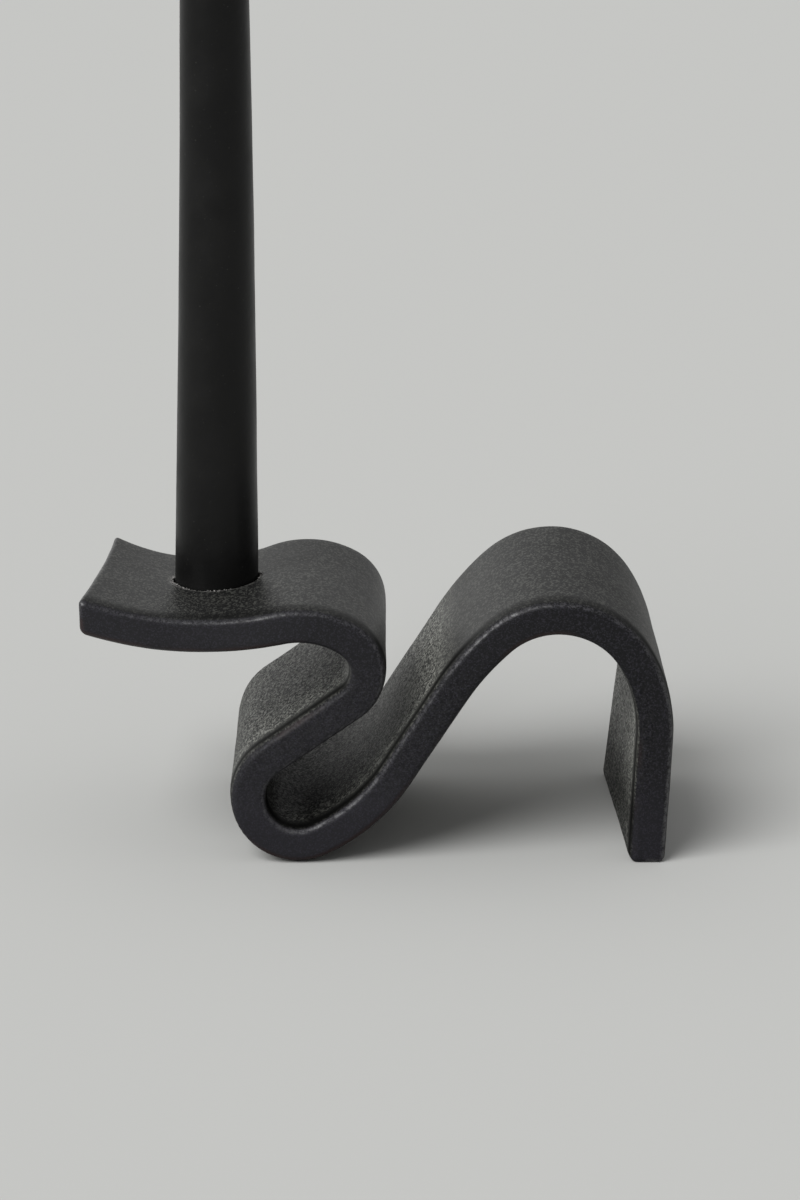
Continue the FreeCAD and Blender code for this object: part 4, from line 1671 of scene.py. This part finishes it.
@dataclass
class TwistedWick:
    """The wick: strands twisted round the line that it follows."""

    stand: float = 3.0 * MM
    curl_radius: float = 24.0 * MM
    curl_turn: float = 20.0
    strand_count: int = 3
    strand_radius: float = 0.58 * MM
    strand_offset: float = 0.50 * MM
    pitch: float = 4.2 * MM
    step: float = 0.45 * MM
    sides: int = 10
    candle: CandlePlace = field(default_factory=CandlePlace)
    finish: WickCotton = WickCotton()

    def line(self) -> list[Vector]:
        """The wick's line, up through the wax and over.

        Returns:
            Its points.
        """
        candle = self.candle
        pen = Pen(candle.x, candle.foot, QUARTER_TURN)
        pen.step = self.step
        pen.run(candle.length + self.stand)
        pen.bend(self.curl_radius, self.curl_turn, left=False)
        return [
            Vector((across + float(candle.bow(up - candle.foot)), candle.y, up))
            for across, up in pen.points
        ]

    def tree(self) -> Tree:
        """Node tree that twists strands round a line.

        Returns:
            The tree.
        """
        values = tree_values(self, "strand_radius", "strand_offset", "pitch", "sides")
        tree = Tree("twist_strands", values | {"Material": self.finish.material()})
        graph, source = tree.graph, tree.source
        tangent = graph.node("GeometryNodeInputTangent").outputs[0]
        outward = graph.vector("CROSS_PRODUCT", tangent, (0.0, 1.0, 0.0))
        gone = graph.node("GeometryNodeSplineParameter").outputs["Length"]
        turned = graph.math("DIVIDE", graph.times(gone, math.tau), source["Pitch"])
        inputs = {"Resolution": source["Sides"], "Radius": source["Strand Radius"]}
        section = graph.node("GeometryNodeCurvePrimitiveCircle", inputs, mode="RADIUS")
        joined = graph.node("GeometryNodeJoinGeometry")
        for strand in range(self.strand_count):
            angle = graph.math("ADD", turned, math.tau * strand / self.strand_count)
            across = graph.scaled(outward, graph.math("COSINE", angle))
            side = graph.scaled((0.0, 1.0, 0.0), graph.math("SINE", angle))
            offset = graph.scaled(graph.vector("ADD", across, side), source["Strand Offset"])
            inputs = {"Geometry": source["Geometry"], "Offset": offset}
            wound = graph.node("GeometryNodeSetPosition", inputs).outputs[0]
            inputs = {"Curve": wound, "Profile Curve": section.outputs[0], "Fill Caps": True}
            tube = graph.node("GeometryNodeCurveToMesh", inputs).outputs[0]
            graph.fill(joined, {0: tube})
        inputs = {"Geometry": joined.outputs[0]}
        tree.close(graph.node("GeometryNodeSetShadeSmooth", inputs).outputs[0])
        return tree

    def build(self) -> bpy.types.Object:
        """Twist the wick and dress it.

        Returns:
            The finished wick.
        """
        wick = self.tree().apply("twisted_wick", poly_curve("wick_line", self.line()))
        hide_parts(Node.WICK.value)
        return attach(wick, Body.CANDLE.value)


@dataclass
class Studio:
    """Plain floor, soft light from the left and in front, and the photograph's camera."""

    ribbon: ClayRibbon
    floor_radius: float = 9.0
    floor_steps: int = 96
    sun_from: tuple[float, float, float] = (-0.74, -0.79, 1.0)
    sun_strength: float = 2.58
    sun_spread: float = 42.0
    room_color: Rgb = (0.38, 0.38, 0.38)
    backdrop_color: Rgb = (0.80, 0.803, 0.79)
    backdrop_side: tuple[float, float, float] = (-0.88, 0.475, 0.0)
    backdrop_span: Span = (-0.1, 1.0)
    camera_from_loop: tuple[float, float, float] = (20.2 * MM, -1016.7 * MM, 329.6 * MM)
    camera_pitch: float = 14.856
    camera_yaw: float = 0.356
    camera_focal_pixels: float = 4000.0
    picture_long_side: float = 1200.0
    sensor: float = 36.0
    finish: StudioFloor = StudioFloor()

    def build_camera(self) -> None:
        """Place the camera where the photograph was taken from."""
        data = bpy.data.cameras.new("camera")
        data.sensor_width = self.sensor
        data.lens = self.camera_focal_pixels / self.picture_long_side * self.sensor
        data.clip_end = self.floor_radius * 3.0
        camera = linked(bpy.data.objects.new("camera", data))
        across, back, up = self.camera_from_loop
        camera.location = (self.ribbon.loop_axis + across, back, up)
        camera.rotation_euler = (
            math.radians(QUARTER_TURN - self.camera_pitch),
            0.0,
            math.radians(-self.camera_yaw),
        )
        bpy.context.scene.camera = camera

    def build_floor(self) -> bpy.types.Object:
        """Make the floor, a wide disc.

        Returns:
            The floor.
        """
        mesh = bpy.data.meshes.new("floor")
        work = bmesh.new()
        size = {"segments": self.floor_steps, "radius": self.floor_radius}
        bmesh.ops.create_circle(work, cap_ends=True, **size)
        work.to_mesh(mesh)
        work.free()
        floor = linked(bpy.data.objects.new("floor", mesh))
        floor.data.materials.append(self.finish.material())
        return floor

    def build_lights(self) -> None:
        """Hang one broad lamp and light the room round it."""
        lamp = bpy.data.lights.new("softbox", "SUN")
        lamp.energy = self.sun_strength
        lamp.angle = math.radians(self.sun_spread)
        sun = linked(bpy.data.objects.new("softbox", lamp))
        sun.rotation_mode = "QUATERNION"
        sun.rotation_quaternion = Vector(self.sun_from).to_track_quat("Z", "Y")

        world = bpy.data.worlds.new("studio")
        bpy.context.scene.world = world
        world.use_nodes = True
        graph = Graph(world.node_tree)
        toward = graph.node("ShaderNodeTexCoord").outputs["Generated"]
        inputs = {0: toward, 1: self.backdrop_side}
        dot = graph.node("ShaderNodeVectorMath", inputs, operation="DOT_PRODUCT")
        back = dot.outputs["Value"]
        share = graph.ramp(back, *self.backdrop_span)
        color = graph.mixed(share, self.room_color, self.backdrop_color)
        graph.fill(world.node_tree.nodes["Background"], {"Color": color})

    def build(self) -> None:
        """Set up the whole studio."""
        self.build_camera()
        self.build_floor()
        self.build_lights()
        bpy.context.scene.view_settings.view_transform = "Standard"


def main() -> None:
    """Build every piece in order and report each."""
    logging.basicConfig(level=logging.INFO, format="%(name)s: %(message)s")
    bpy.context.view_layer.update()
    ribbon = ClayRibbon()
    builders: list[Callable[[], bpy.types.Object]] = [
        ribbon.build,
        RimGrit(ribbon).build,
        WaxTaper().build,
        TwistedWick().build,
    ]
    for build in builders:
        piece = build()
        log.info("%s: %d faces", piece.name, len(piece.data.polygons))
    Studio(ribbon).build()


if __name__ == "__main__":
    main()
